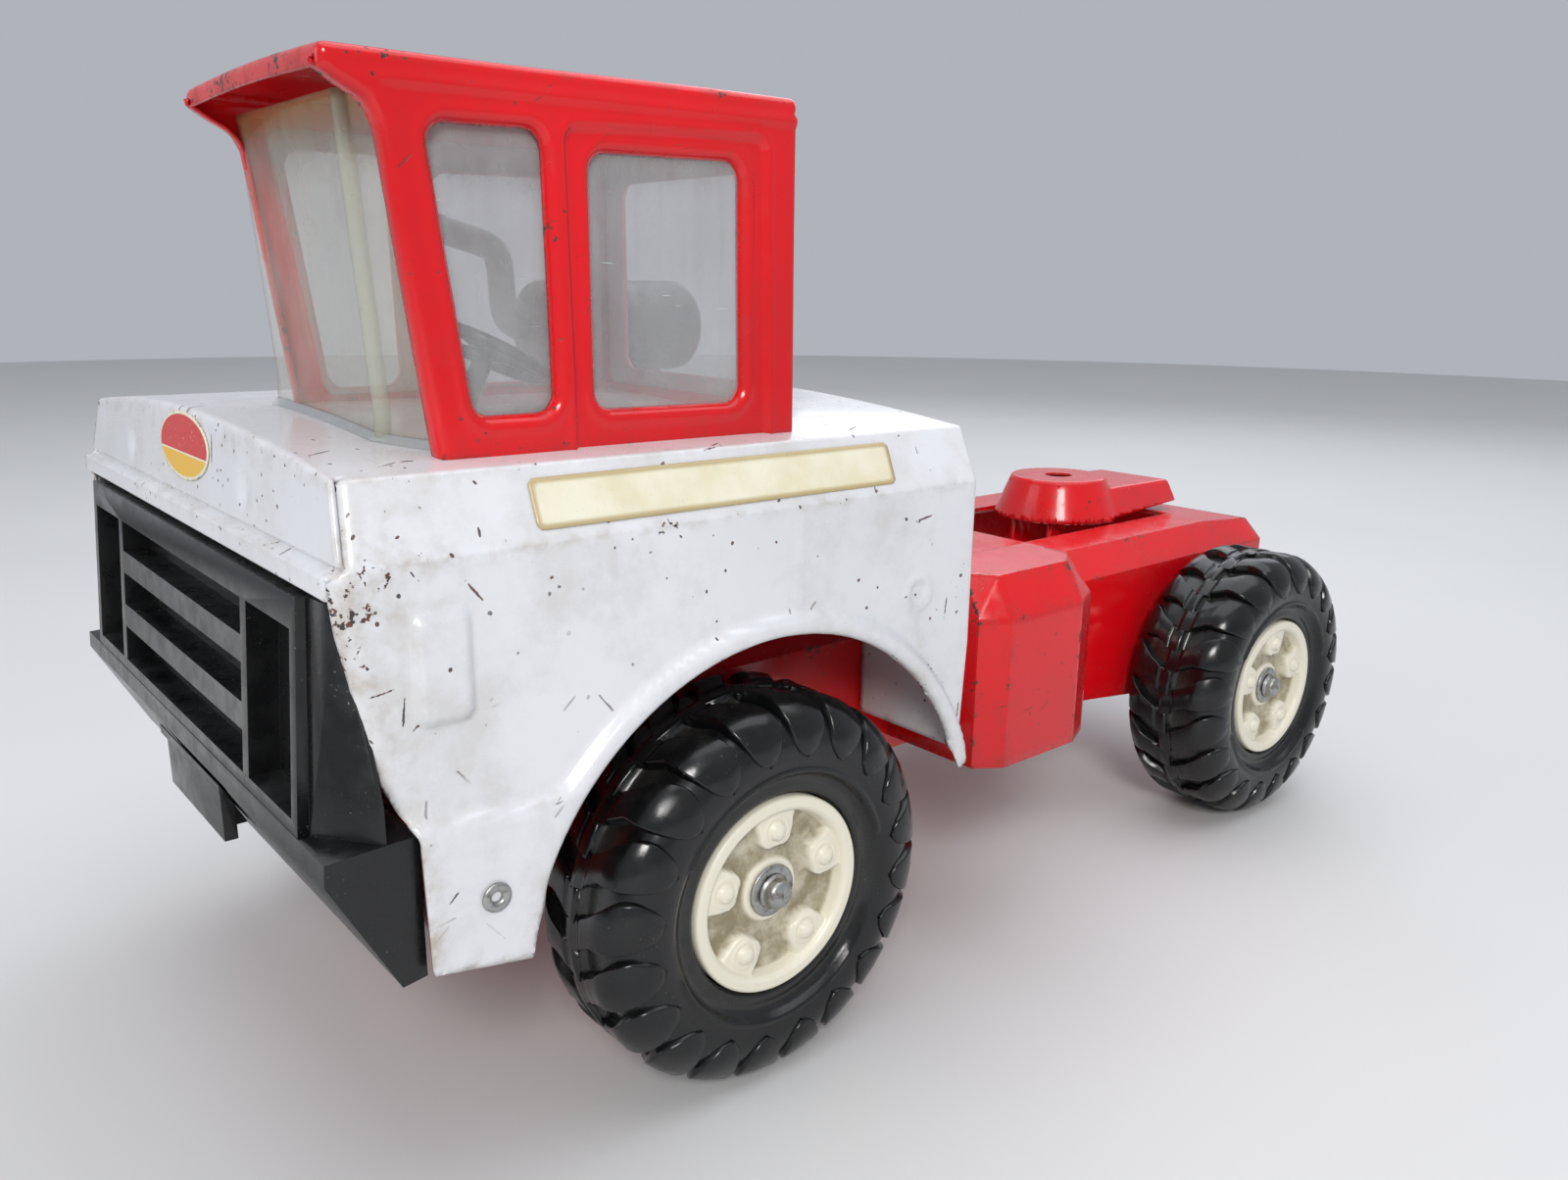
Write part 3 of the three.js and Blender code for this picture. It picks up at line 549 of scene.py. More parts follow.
def hazy(name, tint, grime, low_z, high_z, clear=0.25, murk=0.4, bands=0.0):
    """old clear moulding: hazed, scratched, dirty near its top and bottom"""
    n = Nodes(name)
    z = n.math("DIVIDE", n.minus(n.xyz()[2], low_z), high_z - low_z)
    cloud = n.span(n.noise(45, 5, 0.65, stretch=(1, 1, 0.5)), 0.35, 0.7)
    streak = n.span(n.noise(60, 4, 0.6, stretch=(3, 3, 0.16), offset=(2, 5, 1)), 0.45, 0.8)
    top = n.span(z, 0.8, 1.0)
    bottom = n.span(z, 0.2, 0.0)
    ends = n.most(top, bottom)
    dirt = n.plus(n.times(ends, 0.6), n.times(streak, 0.3))
    dirt = n.times(dirt, n.plus(cloud, 0.35), clamp=True)
    hair = n.span(n.noise(26, 2, 0.5, stretch=(2, 70, 30), turn=(0.3, 0.7, 0.2)), 0.74, 0.765)
    colour = n.mix(n.times(dirt, 0.8), tint, grime)
    if bands:
        colour = n.mix(n.times(n.span(z, 0.84, 0.97), bands), colour, (0.5, 0.32, 0.1))
    alpha = n.plus(n.times(n.most(dirt, hair), murk),
                   n.plus(n.times(cloud, 0.12), clear), clamp=True)
    rough = n.plus(n.times(cloud, 0.2), 0.08)
    return n.finish(Base_Color=colour, Roughness=rough, Alpha=alpha)


def steel(name, colour=(0.42, 0.42, 0.41), dark=(0.12, 0.1, 0.085)):
    """plated steel, dulled and lightly rusted"""
    n = Nodes(name)
    patch = n.span(n.noise(420, 5, 0.65), 0.45, 0.75)
    tint = n.mix(patch, colour, dark)
    rough = n.span(n.noise(900, 4, 0.6), 0.3, 0.7, 0.28, 0.5)
    n.shader.inputs["Metallic"].default_value = 0.9
    return n.finish(Base_Color=tint, Roughness=rough, Normal=n.bump(n.noise(1500, 3, 0.5), 0.00005, 0.5))


WHITE = enamel("white_enamel_paint", (0.74, 0.75, 0.78), (0.68, 0.69, 0.71), (0.03, 0.026, 0.026),
               (0.30, 0.22, 0.12), chips=0.6, scratches=0.95, dirty=0.5)
RED = enamel("red_enamel_paint", (0.72, 0.003, 0.008), (0.60, 0.002, 0.006), (0.045, 0.022, 0.018),
             (0.16, 0.03, 0.022), chips=0.8, scratches=0.6, dirty=0.32, specular=0.4, coat=0.25)
BLACK = moulding("black_moulding", (0.0035, 0.0037, 0.0042), (0.30, 0.31, 0.31), (0.22, 0.38), 0.12)
TYRE = moulding("tyre_vinyl", (0.003, 0.0034, 0.004), (0.16, 0.155, 0.13), (0.15, 0.32), 0.16, grain=500,
                hollows=0.12)
IVORY = moulding("ivory_moulding", (0.80, 0.76, 0.62), (0.24, 0.20, 0.11), (0.26, 0.4), 0.25, grain=700,
                 specks=False, hollows=0.95)
STEEL = steel("dull_steel")
GLASS = hazy("hazed_screen", (0.60, 0.60, 0.53), (0.22, 0.18, 0.12), 0.172, 0.25, 0.16, 0.42, bands=0.85)
PANE = hazy("hazed_pane", (0.60, 0.62, 0.63), (0.15, 0.13, 0.08), 0.178, 0.245, 0.20, 0.5)
POST = hazy("hazed_post", (0.56, 0.58, 0.46), (0.28, 0.27, 0.16), 0.172, 0.25, 0.24, 0.3)
FOOT = hazy("hazed_foot", (0.50, 0.54, 0.57), (0.28, 0.27, 0.22), 0.172, 0.25, 0.42, 0.3)


def label_material():
    n = Nodes("label_blank")
    age = n.span(n.noise(60, 5, 0.6), 0.35, 0.7)
    colour = n.mix(age, (0.80, 0.77, 0.62), (0.72, 0.66, 0.46))
    rim = n.span(n.attribute("wear"), 0.55, 0.8)
    colour = n.mix(n.times(rim, 0.75), colour, (0.42, 0.30, 0.10))
    return n.finish(Base_Color=colour, Roughness=n.span(n.noise(300, 3), 0.3, 0.7, 0.25, 0.4))


def badge_material(mid_z):
    n = Nodes("badge_two_colour")
    z = n.xyz()[2]
    lower = n.span(z, mid_z - 0.0016, mid_z - 0.0014, 1.0, 0.0)
    colour = n.mix(lower, (0.60, 0.02, 0.015), (0.80, 0.46, 0.03))
    line = n.math("LESS_THAN", n.math("ABSOLUTE", n.minus(z, mid_z - 0.0015)), 0.00022)
    colour = n.mix(line, colour, (0.8, 0.76, 0.6))
    rim = n.span(n.attribute("wear"), 0.72, 0.78)
    colour = n.mix(rim, colour, (0.78, 0.73, 0.55))
    scuff = n.span(n.noise(700, 4, 0.6), 0.62, 0.7)
    colour = n.mix(n.times(scuff, 0.5), colour, (0.7, 0.66, 0.6))
    return n.finish(Base_Color=colour, Roughness=0.32)


# ------------------------------------------------------------------ body shell
def hood_edge_z(x):
    run = (x - BODY_REAR_X) / (NOSE_TOP_X - BODY_REAR_X)
    return HOOD_EDGE_REAR_Z + run * (HOOD_EDGE_Z - HOOD_EDGE_REAR_Z)


def hood_z(x, y):
    return hood_edge_z(x) + HOOD_CROWN * (1 - (y / HOOD_EDGE_HALF) ** 2)


JOIN_Y = 94.0  # where the hood grid meets the side grid
FOLD_X = 104.6  # where the hood starts to fold into the nose
FRONT_ROLL = 4.0
FRONT_TURN = math.radians(72)
SIDE = Section([
    (JOIN_Y, hood_z(NOSE_TOP_X, JOIN_Y)), (HOOD_EDGE_HALF, HOOD_EDGE_Z), (BODY_HALF, HOOD_CREASE_Z),
    (BODY_HALF, 58),
], [0, 1.5, 2.6, 0], step=1.25, arc=6)
side_front = polygon([
    (-200, 200), (NOSE_TOP_X - 0.4, 200), (NOSE_TOP_X - 0.4, 174), (NOSE_CREASE_X - 0.4, 159.5),
    (111.2, 155.8), (110.1, 145), (108.0, 134.5), (106.2, 121.7), (103.6, 112.7), (100.6, 106), (98.6, 102.6),
    (97.6, 100), (96.2, 40), (-200, 40),
])
side_rest = polygon([
    (BODY_REAR_X, 260), (BODY_REAR_X, 110), (-70.4, 74.4), (-64, 70), (-40, 50), (55, 50), (66, 64.4),
    (74.3, 64.8), (95.6, 68.9), (140, 76), (140, 260),
], corner=1.0)
EDGE_ROLL = (1.5, 1.6, QUARTER)
EDGE_REACH = (QUARTER - 1) * EDGE_ROLL[0] + EDGE_ROLL[1]
HOOD_SPANS = ((BODY_REAR_X - EDGE_REACH, BODY_REAR_X + 3, 0.7), (BODY_REAR_X + 3, 92, 1.3), (92, FOLD_X, 0.9))


def arch_distance(x, z):
    return np.hypot(x - ARCH[0], z - ARCH[1]) - ARCH[2]


def side_z(v):
    return SIDE.at(v)[1]


def rest_distance(u, v):
    z = side_z(v)
    return np.minimum(side_rest(u, z), arch_distance(u, z))


def front_distance(u, v):
    return side_front(u, side_z(v))


def rest_share(u, v):
    return smooth(side_z(v), 71, 84)


def front_share(u, v):
    return smooth(side_z(v), 99, 108)


def side_keep(u, v):
    return np.minimum(rest_distance(u, v) + EDGE_REACH * rest_share(u, v),
                      front_distance(u, v) + 0.9 * front_share(u, v))


def side_base(u, v):
    y, z = SIDE.at(v)
    ty, tz = SIDE.slope(v)
    weight = np.clip((z - HOOD_CREASE_Z) / (HOOD_EDGE_Z - HOOD_CREASE_Z), 0, 1)
    wave = 0.16 * np.sin(u / 23 + 0.7) * np.sin(z / 17 + 1) * smooth(z, 170, 150)
    P = np.stack([u, y + wave, z + (hood_edge_z(u) - HOOD_EDGE_Z) * weight], -1)
    N = np.stack([0 * u, -tz, ty], -1)
    return P, N


def side_lift(u, v):
    """what stands out of the side: the arch's flare, the lower panel, the stamped marks and door lines"""
    z = side_z(v)
    arch = 77.6 - np.hypot(u - ARCH[0], z - ARCH[1])
    ledge_z = 99.5 + (u - 56.5) * 0.0858
    panel = np.minimum((ledge_z - z) * 0.7, u - 46)
    flare = 3.0 * smooth(soft_max(arch, panel, 4.0), -0.8, 0.9)
    badge = 1.9 * smooth(box_distance(u, z, 89.5, 135.2, 6.0, 11.7, 2.6), -0.6, 0.9)
    ring = np.hypot(u + 50.3, z - 128.4)
    dimple = 0.9 * np.exp(-((ring - 4.2) / 0.9) ** 2) - 0.5 * smooth(4.2 - ring, 0, 1)

    def seam(x, low, high):
        return np.exp(-((u - x) / 0.7) ** 2) * smooth(z, low, low + 2) * smooth(z, high, high - 2)

    doors = 0.5 * seam(-7, 130, 157) + 0.35 * seam(49, 137, 156) + 0.35 * seam(-20, 150, 157)
    return flare + badge + dimple + doors


def side_skin():
    us = lines(*HOOD_SPANS, (FOLD_X, 113, 0.8))
    rolls = [(rest_distance, *EDGE_ROLL, rest_share),
             (front_distance, FRONT_ROLL, 0, FRONT_TURN, front_share)]
    P, faces, wear = skin(us, SIDE.s, side_base, side_keep, rolls, side_lift)
    z = P[:, 2]
    crease = np.exp(-np.abs(z - HOOD_CREASE_Z) / 1.3) * 0.65
    crease = crease + np.exp(-np.abs(z - HOOD_EDGE_Z + 0.6) / 1.2) * 0.35
    corner = np.exp(-np.hypot(P[:, 0] - 100, z - 156) / 13) * 0.8
    ledge = np.exp(-np.abs(z - 99.5 - (P[:, 0] - 56.5) * 0.0858) / 1.6) * (P[:, 0] > 55) * 0.5
    front = np.exp(-np.abs(P[:, 0] - 101 - (z - 121) * 0.2) / 4) * (z > 100) * (z < 157) * 0.5
    return P, faces, np.clip(np.maximum.reduce([wear, crease, ledge, front]) + corner, 0, 1)


DIMPLE_YS = (-52, 46)
DIMPLE_Z = 165.5


def hood_and_nose():
    """the hood's top and the nose panel, one column at a time across the truck"""
    hood_x = lines(*HOOD_SPANS)
    across = np.linspace(-1, 1, 141)
    columns = []
    for a in across:
        y = a * JOIN_Y
        d = hood_x - BODY_REAR_X
        radius, _, turn = EDGE_ROLL
        s = np.clip(radius - d, 0, None)
        angle = np.minimum(s / radius, turn)
        rest = np.clip(s - radius * turn, 0, None)
        x = np.where(d < radius, BODY_REAR_X + radius - radius * np.sin(angle), hood_x)
        drop = radius * (1 - np.cos(angle)) + rest
        hood = np.stack([x, 0 * x + y, hood_z(x, y) - drop], -1)
        top = hood_z(NOSE_TOP_X, y)
        profile = fixed_path([
            (FOLD_X, hood_z(FOLD_X, y)), (NOSE_TOP_X, top), (NOSE_CREASE_X, 158.8), (107.6, 157.6),
            (NOSE_LIP_X, 156.8), (NOSE_LIP_X + 0.2, 152.2), (106.5, 151.4),
        ], [0, 1.7, 0.7, 0.5, 0.9, 0.8, 0], [0, 14, 2, 3, 4, 4])
        x, z = profile[1:].T
        half = np.interp(z, [151, 156.8, 158.6, 174.2, 181], [100.6, 101.2, 102.4, 95.8, 95.0])
        half = JOIN_Y + (half - JOIN_Y) * smooth(x + (174 - z) * 0.3, FOLD_X, FOLD_X + 1.6)
        columns.append(np.concatenate([hood, np.stack([x, a * half, z], -1)]))
    P = np.array(columns)
    dimples = sum(np.exp(-((P[..., 1] - c) ** 2 + (P[..., 2] - DIMPLE_Z) ** 2) / 3.2 ** 2) for c in DIMPLE_YS)
    P[..., 0] -= 0.9 * dimples * (P[..., 0] > 105.5)
    flat, faces, _ = grid(P, flip=True)
    edge = np.exp(-np.abs(flat[:, 0] - NOSE_TOP_X) / 1.5) * (flat[:, 2] > 172) * 0.55
    side = np.exp(-(np.abs(np.tile(across[:, None], (1, P.shape[1])).reshape(-1)) - 1) ** 2 / 0.0003)
    side = side * (flat[:, 0] > FOLD_X)
    low = np.exp(-np.abs(flat[:, 2] - 157) / 1.5) * (flat[:, 0] > 105) * 0.5
    return flat, faces, np.clip(edge + side * 0.8 + low + (flat[:, 0] < BODY_REAR_X + 1.5) * 0.5, 0, 1)


def fixed_path(points, radii, counts, arc=5):
    """like fillet_path, with a set number of points on each straight, so that columns match"""
    pts = np.array(points, float)
    rows = [[pts[0]]]
    for i in range(1, len(pts) - 1):
        a, b, c = pts[i - 1], pts[i], pts[i + 1]
        ab, bc = (a - b) / np.linalg.norm(a - b), (c - b) / np.linalg.norm(c - b)
        cut = radii[i] * math.tan((math.pi - math.acos(np.clip(ab @ bc, -1, 1))) / 2)
        t = np.linspace(0, 1, arc)[:, None]
        rows.append(list((1 - t) ** 2 * (b + ab * cut) + 2 * t * (1 - t) * b + t * t * (b + bc * cut)))
    rows.append([pts[-1]])
    out = list(rows[0])
    for row, n in zip(rows[1:], counts):
        last, first = out[-1], row[0]
        out += [last + (first - last) * k / (n + 1) for k in range(1, n + 1)]
        out += row
    return np.array(out)


def upright(x, outline, holes, corner, low, high, step, facing=-1, roll=None):
    """a flat wall across the truck at X = x, with rounded outline and rolled holes"""
    outer = polygon(outline, corner)

    def keep(y, z):
        d = outer(y, z)
        for hole in holes:
            d = np.minimum(d, -hole(y, z) + (0.57 * roll[0] + roll[1] if roll else 0))
        return d

    def base(y, z):
        return np.stack([0 * y + x, y, z], -1), np.stack([0 * y + facing, 0 * y, 0 * y], -1)

    rolls = [(lambda y, z, h=h: -h(y, z), roll[0], roll[1], QUARTER) for h in holes] if roll else []
    return skin(lines((low[0], high[0], step)), lines((low[1], high[1], step)), base, keep, rolls)


def rear_wall():
    slot = polygon([(60.3, 20), (60.3, 102), (50.3, 112.4), (-50.3, 112.4), (-60.3, 102), (-60.3, 20)])
    outline = [(101.6, 77), (101.6, 157), (95.2, 172.2), (60, 175.3), (0, 177), (-60, 175.3), (-95.2, 172.2),
               (-101.6, 157), (-101.6, 77)]
    return upright(BODY_REAR_X + 1.4, outline, [slot], 1.0, (-104, 74), (104, 180), 1.5)


side = side_skin()
make("body_shell_skin", joined(side, mirrored(side), hood_and_nose()), WHITE, "white_enamel", ["body_shell"],
     merge=0.05, thick=1.0, body="truck")
make("body_rear_wall", rear_wall(), WHITE, "white_enamel", ["body_shell"], thick=1.0, body="truck")


# ------------------------------------------------------------------ cab
CAB = Section([(CAB_LEFT_Y, 168), (CAB_LEFT_Y, CAB_TOP_Z), (CAB_RIGHT_Y, CAB_TOP_Z), (CAB_RIGHT_Y, 168)],
              [0, 2.6, 2.6, 0], step=1.15, arc=6)
cab_front = polygon([
    (-100, 400), (99.4, 400), (99.4, 250.2), (95.2, 247.4), (90.6, 244.8), (88.7, 241), (88.0, 236),
    (79.2, 166), (78, 120), (-100, 120),
], corner=1.2)
front_window = polygon([(53.2, 242.4), (52.3, 183.2), (71.5, 183.3), (79.1, 241.9)], corner=4.0)
rear_window = polygon([(41, 238.6), (-0.6, 239.2), (-1.1, 182.4), (40.8, 183.0)], corner=4.2)
door_panel = polygon([(45.4, 60), (48.3, 243.6), (-7.3, 245.2), (-10.2, 60)], corner=3.5)
WINDOW_ROLL = (2.3, 0.3, QUARTER)
WINDOW_REACH = 0.5708 * WINDOW_ROLL[0] + WINDOW_ROLL[1]
CAB_ROLL = (2.1, 2.4, QUARTER)
CAB_REACH = 0.5708 * CAB_ROLL[0] + CAB_ROLL[1]


def cab_z(v):
    return CAB.at(v)[1]


def windows(u, v):
    z = cab_z(v)
    return np.minimum(-front_window(u, z), -rear_window(u, z))


def cab_front_distance(u, v):
    return cab_front(u, cab_z(v))


def cab_rear_distance(u, v):
    return u - CAB_REAR_X


def cab_keep(u, v):
    y, z = CAB.at(v)
    d = np.minimum(windows(u, v) + WINDOW_REACH, cab_front_distance(u, v) + CAB_REACH)
    d = np.minimum(d, cab_rear_distance(u, v) + EDGE_REACH)
    return np.minimum(d, z - hood_z(u, y) + 0.5)


def cab_base(u, v):
    y, z = CAB.at(v)
    ty, tz = CAB.slope(v)
    sink = 0.9 * (u - CAB_REAR_X) / 116 * np.clip((z - 235) / 20, 0, 1)
    P = np.stack([u, y, z - sink], -1)
    return P, np.stack([0 * u, tz, -ty], -1)


def cab_lift(u, v):
    """the cab's sunk door panels with their raised edge, the bead below the roof and the roof's crown"""
    y, z = CAB.at(v)
    wall = smooth(z, 253, 251)
    inner = door_panel(u, z)
    door = -1.5 * smooth(inner, -0.6, 0.8) + 0.5 * np.exp(-((inner + 0.9) / 0.7) ** 2)
    door = door + 0.5 * np.exp(-((windows(u, v) - 2.4) / 0.9) ** 2)
    bead = 1.1 * np.exp(-((z - 249.4) / 0.85) ** 2) * smooth(u, 92, 84) - 0.25 * smooth(z, 250, 251.2)
    across = np.clip((y - CAB_RIGHT_Y) / (CAB_LEFT_Y - CAB_RIGHT_Y), 0, 1)
    crown = 0.9 * np.sin(across * math.pi) * smooth(z, 253.8, 254.8)
    wave = 0.12 * np.sin(u / 15 + z / 19)
    return wall * (door + bead) + crown + wave


def cab_skin():
    us = lines((CAB_REAR_X - EDGE_REACH, 3, 0.8), (3, 37, 1.2), (37, 104, 0.85))
    vs = CAB.s
    rolls = [(windows, *WINDOW_ROLL), (cab_front_distance, *CAB_ROLL), (cab_rear_distance, *EDGE_ROLL)]
    P, faces, wear = skin(us, vs, cab_base, cab_keep, rolls, cab_lift)
    top = P[:, 2] > 252.2
    y_edge = np.minimum(np.abs(P[:, 1] - CAB_LEFT_Y), np.abs(P[:, 1] - CAB_RIGHT_Y))
    roof = np.exp(-y_edge / 1.4) * top * 0.85
    bead = np.exp(-np.abs(P[:, 2] - 249.6) / 0.8) * 0.35
    visor = (P[:, 0] > 97.5) * 0.9 * (P[:, 2] > 247)
    return P, faces, np.clip(np.maximum.reduce([wear * 0.8, roof, bead, visor]), 0, 1)


make("cab_shell_skin", cab_skin(), RED, "red_enamel", ["cab_shell"], thick=0.9, merge=0.03)
CAB_SHEET = 0.9
rear_light = polygon([(14, 186), (76, 186), (76, 238), (14, 238)], corner=5)
rear_outline = [(CAB_RIGHT_Y + CAB_SHEET, 177.2), (CAB_LEFT_Y - CAB_SHEET, 174),
                (CAB_LEFT_Y - CAB_SHEET, CAB_TOP_Z - 1), (CAB_RIGHT_Y + CAB_SHEET, CAB_TOP_Z - 1)]
rear_panel = upright(CAB_REAR_X + 1.3, rear_outline, [rear_light], 1.5, (0, 170), (90, 256), 1.1,
                     roll=(1.8, 0.5))
make("cab_rear_wall", rear_panel, RED, "red_enamel", ["cab_shell"], thick=CAB_SHEET, body="truck")


# ------------------------------------------------------------------ glazing
def pane_y(y, outline, corner, facing):
    outer = polygon(outline, corner)

    def base(x, z):
        return np.stack([x, 0 * x + y, z], -1), np.stack([0 * x, 0 * x + facing, 0 * x], -1)

    return skin(lines((-14, 84, 1.6)), lines((176, 250, 1.6)), base, outer)


PANE_OUTLINE = [(-11, 178.5), (73.5, 178.5), (83, 246.5), (-11, 246.5)]
RIGHT_OUTLINE = [(x, max(z, 181.5)) for x, z in PANE_OUTLINE]
PANE_IN = 3.5  # from the cab's skin to a side pane
make("side_window_left_pane", pane_y(CAB_LEFT_Y - PANE_IN, PANE_OUTLINE, 3, 1), PANE, "clear_plastic",
     ["side_window_left"], thick=1.2)
make("side_window_right_pane", pane_y(CAB_RIGHT_Y + PANE_IN, RIGHT_OUTLINE, 3, -1), PANE, "clear_plastic",
     ["side_window_right"], thick=1.2)
rear_glazing = [(8, 181.5), (80, 181.5), (80, 246), (8, 246)]
rear_pane = upright(CAB_REAR_X + 4.0, rear_glazing, (), 3, (6, 178), (82, 248), 2.0)
make("rear_window_pane", rear_pane, PANE, "clear_plastic", ["rear_window"], thick=1.2)


def screen_lean(z):
    return (z - 174) * 0.066


def screen_flare(z):
    return smooth(z, 183, 176.5) * 0.7


def screen_path(z):
    lean = screen_lean(z)
    flare = screen_flare(z)
    return fixed_path([
        (84 + lean + flare, CAB_RIGHT_Y + 1.7), (84 + lean + flare, 65.5), (82 + lean + flare, 69.8),
        (72.6 + lean * 1.9, 85.4),
    ], [0, 1.5, 1.5, 0], [24, 1, 8], arc=4)


def screen():
    zs = np.linspace(174.6, 248.8, 44)
    P = np.array([[(x, y, z) for x, y in screen_path(z)] for z in zs])
    low = hood_z(P[0, :, 0], P[0, :, 1]) - 0.4
    share = ((P[:, :, 2] - zs[0]) / (zs[-1] - zs[0]))
    P[:, :, 2] = low[None, :] + share * (zs[-1] - low[None, :])
    return grid(P, flip=True)


make("windshield_screen", screen(), GLASS, "clear_plastic", ["windshield"], thick=1.2)


def corner_post():
    """the thick moulded rib down the screen's corner"""
    rows = []
    for z in np.linspace(174.9, 248.6, 30):
        x = 84.2 + screen_lean(z) + screen_flare(z)
        ring = [(0.2, -1.9), (0.5, -0.6), (0.1, 0.7), (-0.9, 1.9), (-2.4, 1.6), (-2.8, 0.2), (-2.0, -1.6),
                (-0.9, -2.2)]
        rows.append([(x + a, 67.0 + b, z) for a, b in ring])
    P, faces, wear = grid(np.array(rows), closed_v=True)
    n = len(rows[0])
    return P, faces + [list(range(n))[::-1], [len(P) - n + k for k in range(n)]], wear


make("windshield_post", corner_post(), POST, "clear_plastic", ["windshield"], closed=True)


def screen_foot():
    """the moulded lip that the screen stands on"""
    path = screen_path(176)
    tangent = np.gradient(path, axis=0)
    tangent /= np.linalg.norm(tangent, axis=1)[:, None]
    normal = np.stack([tangent[:, 1], -tangent[:, 0]], -1)
    ring = [(0.2, -0.3), (1.5, -0.3), (1.6, 0.5), (1.1, 1.0), (0.7, 1.9), (0.2, 2.0)]
    rows = []
    for p, m in zip(path, normal):
        rows.append([(*(p + m * a), hood_z(p[0], p[1]) + b) for a, b in ring])
    return grid(np.array(rows), closed_v=True)


make("windshield_foot", screen_foot(), FOOT, "clear_plastic", ["windshield"], closed=True)


# ------------------------------------------------------------------ pieces kept from the CAD, edges rounded
refined("grille_bumper", BLACK, "black_plastic", 0.7, 3)
refined("plate_block", BLACK, "black_plastic", 0.6, 3)
refined("chassis_frame", RED, "red_enamel", 0.9, 3, cuts=5.0)
for name in ("saddle_tank_left", "saddle_tank_right"):
    refined(name, RED, "red_enamel", 0.75, 3, cuts=3.5)
refined("coupling_bracket", RED, "red_enamel", 0.3, 2)
refined("coupling_pin", STEEL, "bright_steel", 0.3, 2)
refined("steering_column", BLACK, "black_plastic", 0.3, 2)
for name in ("front_axle", "rear_axle"):
    refined(name, STEEL, "bright_steel", 0.3, 2)


PLATE_X = -248.0
PLATE_TOP = 129.5
PLATE_FOOT = 112.5
TAIL_X = -310.0
PIN_X = -236.0
PIN_Z = 118.5
KINGPIN_R = 6.0
PLATE_R = 27.2
tail_outline = polygon([(PLATE_X, -26.5), (TAIL_X + 2, -22), (TAIL_X, -20), (TAIL_X, 20), (TAIL_X + 2, 22),
                        (PLATE_X, 26.5)], corner=1.5)


def plate_distance(x, y):
    return np.maximum(PLATE_R - np.hypot(x - PLATE_X, y), tail_outline(x, y))


def plate_height(x, y):
    rho = np.hypot(x - PLATE_X, y)
    cone = -soft_max(-PLATE_TOP, -(PLATE_FOOT - 1 + (27.6 - rho) * 2.5), 1.4)
    fall = np.clip((PLATE_X - x) / 60, 0, 1)
    flank = PLATE_FOOT - 1 + 2 * fall + (tail_outline(x, y) + 0.6) * 2.3
    tail = -soft_max(-(125.4 - 1.2 * fall), -flank, 1.4)
    return soft_max(cone, tail, 1.6)


def coupling_plate():
    def keep(x, y):
        return np.minimum(plate_distance(x, y), np.hypot(x - PLATE_X, y) - KINGPIN_R)

    def base(x, y):
        z = plate_height(x, y)
        gx, gy = gradient(plate_height, x, y, 0.05)
        n = np.stack([-gx, -gy, 0 * x + 1], -1)
        return np.stack([x, y, z], -1), n / np.linalg.norm(n, axis=-1)[..., None]

    P, faces, wear = skin(lines((TAIL_X - 2, PLATE_X + 29, 0.75)), lines((-29, 29, 0.75)), base, keep)
    rho = np.hypot(P[:, 0] - PLATE_X, P[:, 1])
    rim = np.exp(-np.abs(rho - 20.3) / 1.0) * (P[:, 2] > 127) * 0.6
    return P, faces, np.maximum(wear * 0.6, rim)


def plate_ears():
    rows = []
    for s in (1, -1):
        y = 12.5 * s
        around = np.linspace(math.pi, 2 * math.pi, 12)
        ring = [(PIN_X + 5 * math.cos(t), PIN_Z + 5 * math.sin(t)) for t in around]
        ring += [(PIN_X + 5, 128.2), (PIN_X - 5, 128.2)]
        sides = [[(x, y - 1, z) for x, z in ring], [(x, y + 1, z) for x, z in ring]]
        P, faces, wear = grid(np.array(sides), closed_v=True)
        n = len(ring)
        rows.append((P, faces + [list(range(n)), list(range(n, 2 * n))], wear))
    return joined(*rows)


make("coupling_plate_pressing", coupling_plate(), RED, "red_enamel", ["coupling_plate"], thick=1.2)
make("coupling_plate_ears", plate_ears(), RED, "red_enamel", ["coupling_plate"], closed=True, bevel=0.3)


# ------------------------------------------------------------------ wheels
# (radius, y) of the tyre's outer half, from the bead to the middle of the tread
CARCASS = [
    (27.9, -9), (27.9, -5.6), (28.5, -3.9), (30.0, -3.6), (31.9, -3.9), (33.4, -2.9), (35.6, -1.3),
    (38.6, -0.45), (42.2, -0.5), (45.4, -1.5), (48.2, -3.5), (50.0, -6.2), (50.7, -9.0), (50.7, -13),
    (50.9, -17), (52.0, -18.4), (53.3, -19.2), (53.4, -20),
]


def spline(points, step):
    """an even, smooth run of points through the given ones"""
    pts = np.array(points, float)
    pad = np.vstack([2 * pts[0] - pts[1], pts, 2 * pts[-1] - pts[-2]])
    out = []
    for k in range(1, len(pad) - 2):
        p0, p1, p2, p3 = pad[k - 1:k + 3]
        for t in np.linspace(0, 1, 12, endpoint=False):
            out.append(0.5 * (2 * p1 + (p2 - p0) * t + (2 * p0 - 5 * p1 + 4 * p2 - p3) * t * t
                              + (3 * p1 - p0 - 3 * p2 + p3) * t ** 3))
    out = np.array(out + [pts[-1]])
    s = np.concatenate([[0], np.cumsum(np.linalg.norm(np.diff(out, axis=0), axis=1))])
    even = np.linspace(0, s[-1], int(s[-1] / step) + 1)
    return np.stack([np.interp(even, s, out[:, 0]), np.interp(even, s, out[:, 1])], -1), even


LUGS = 20
PITCH = 2 * math.pi / LUGS
RIB_R = 35.0  # the raised arcs on the sidewall
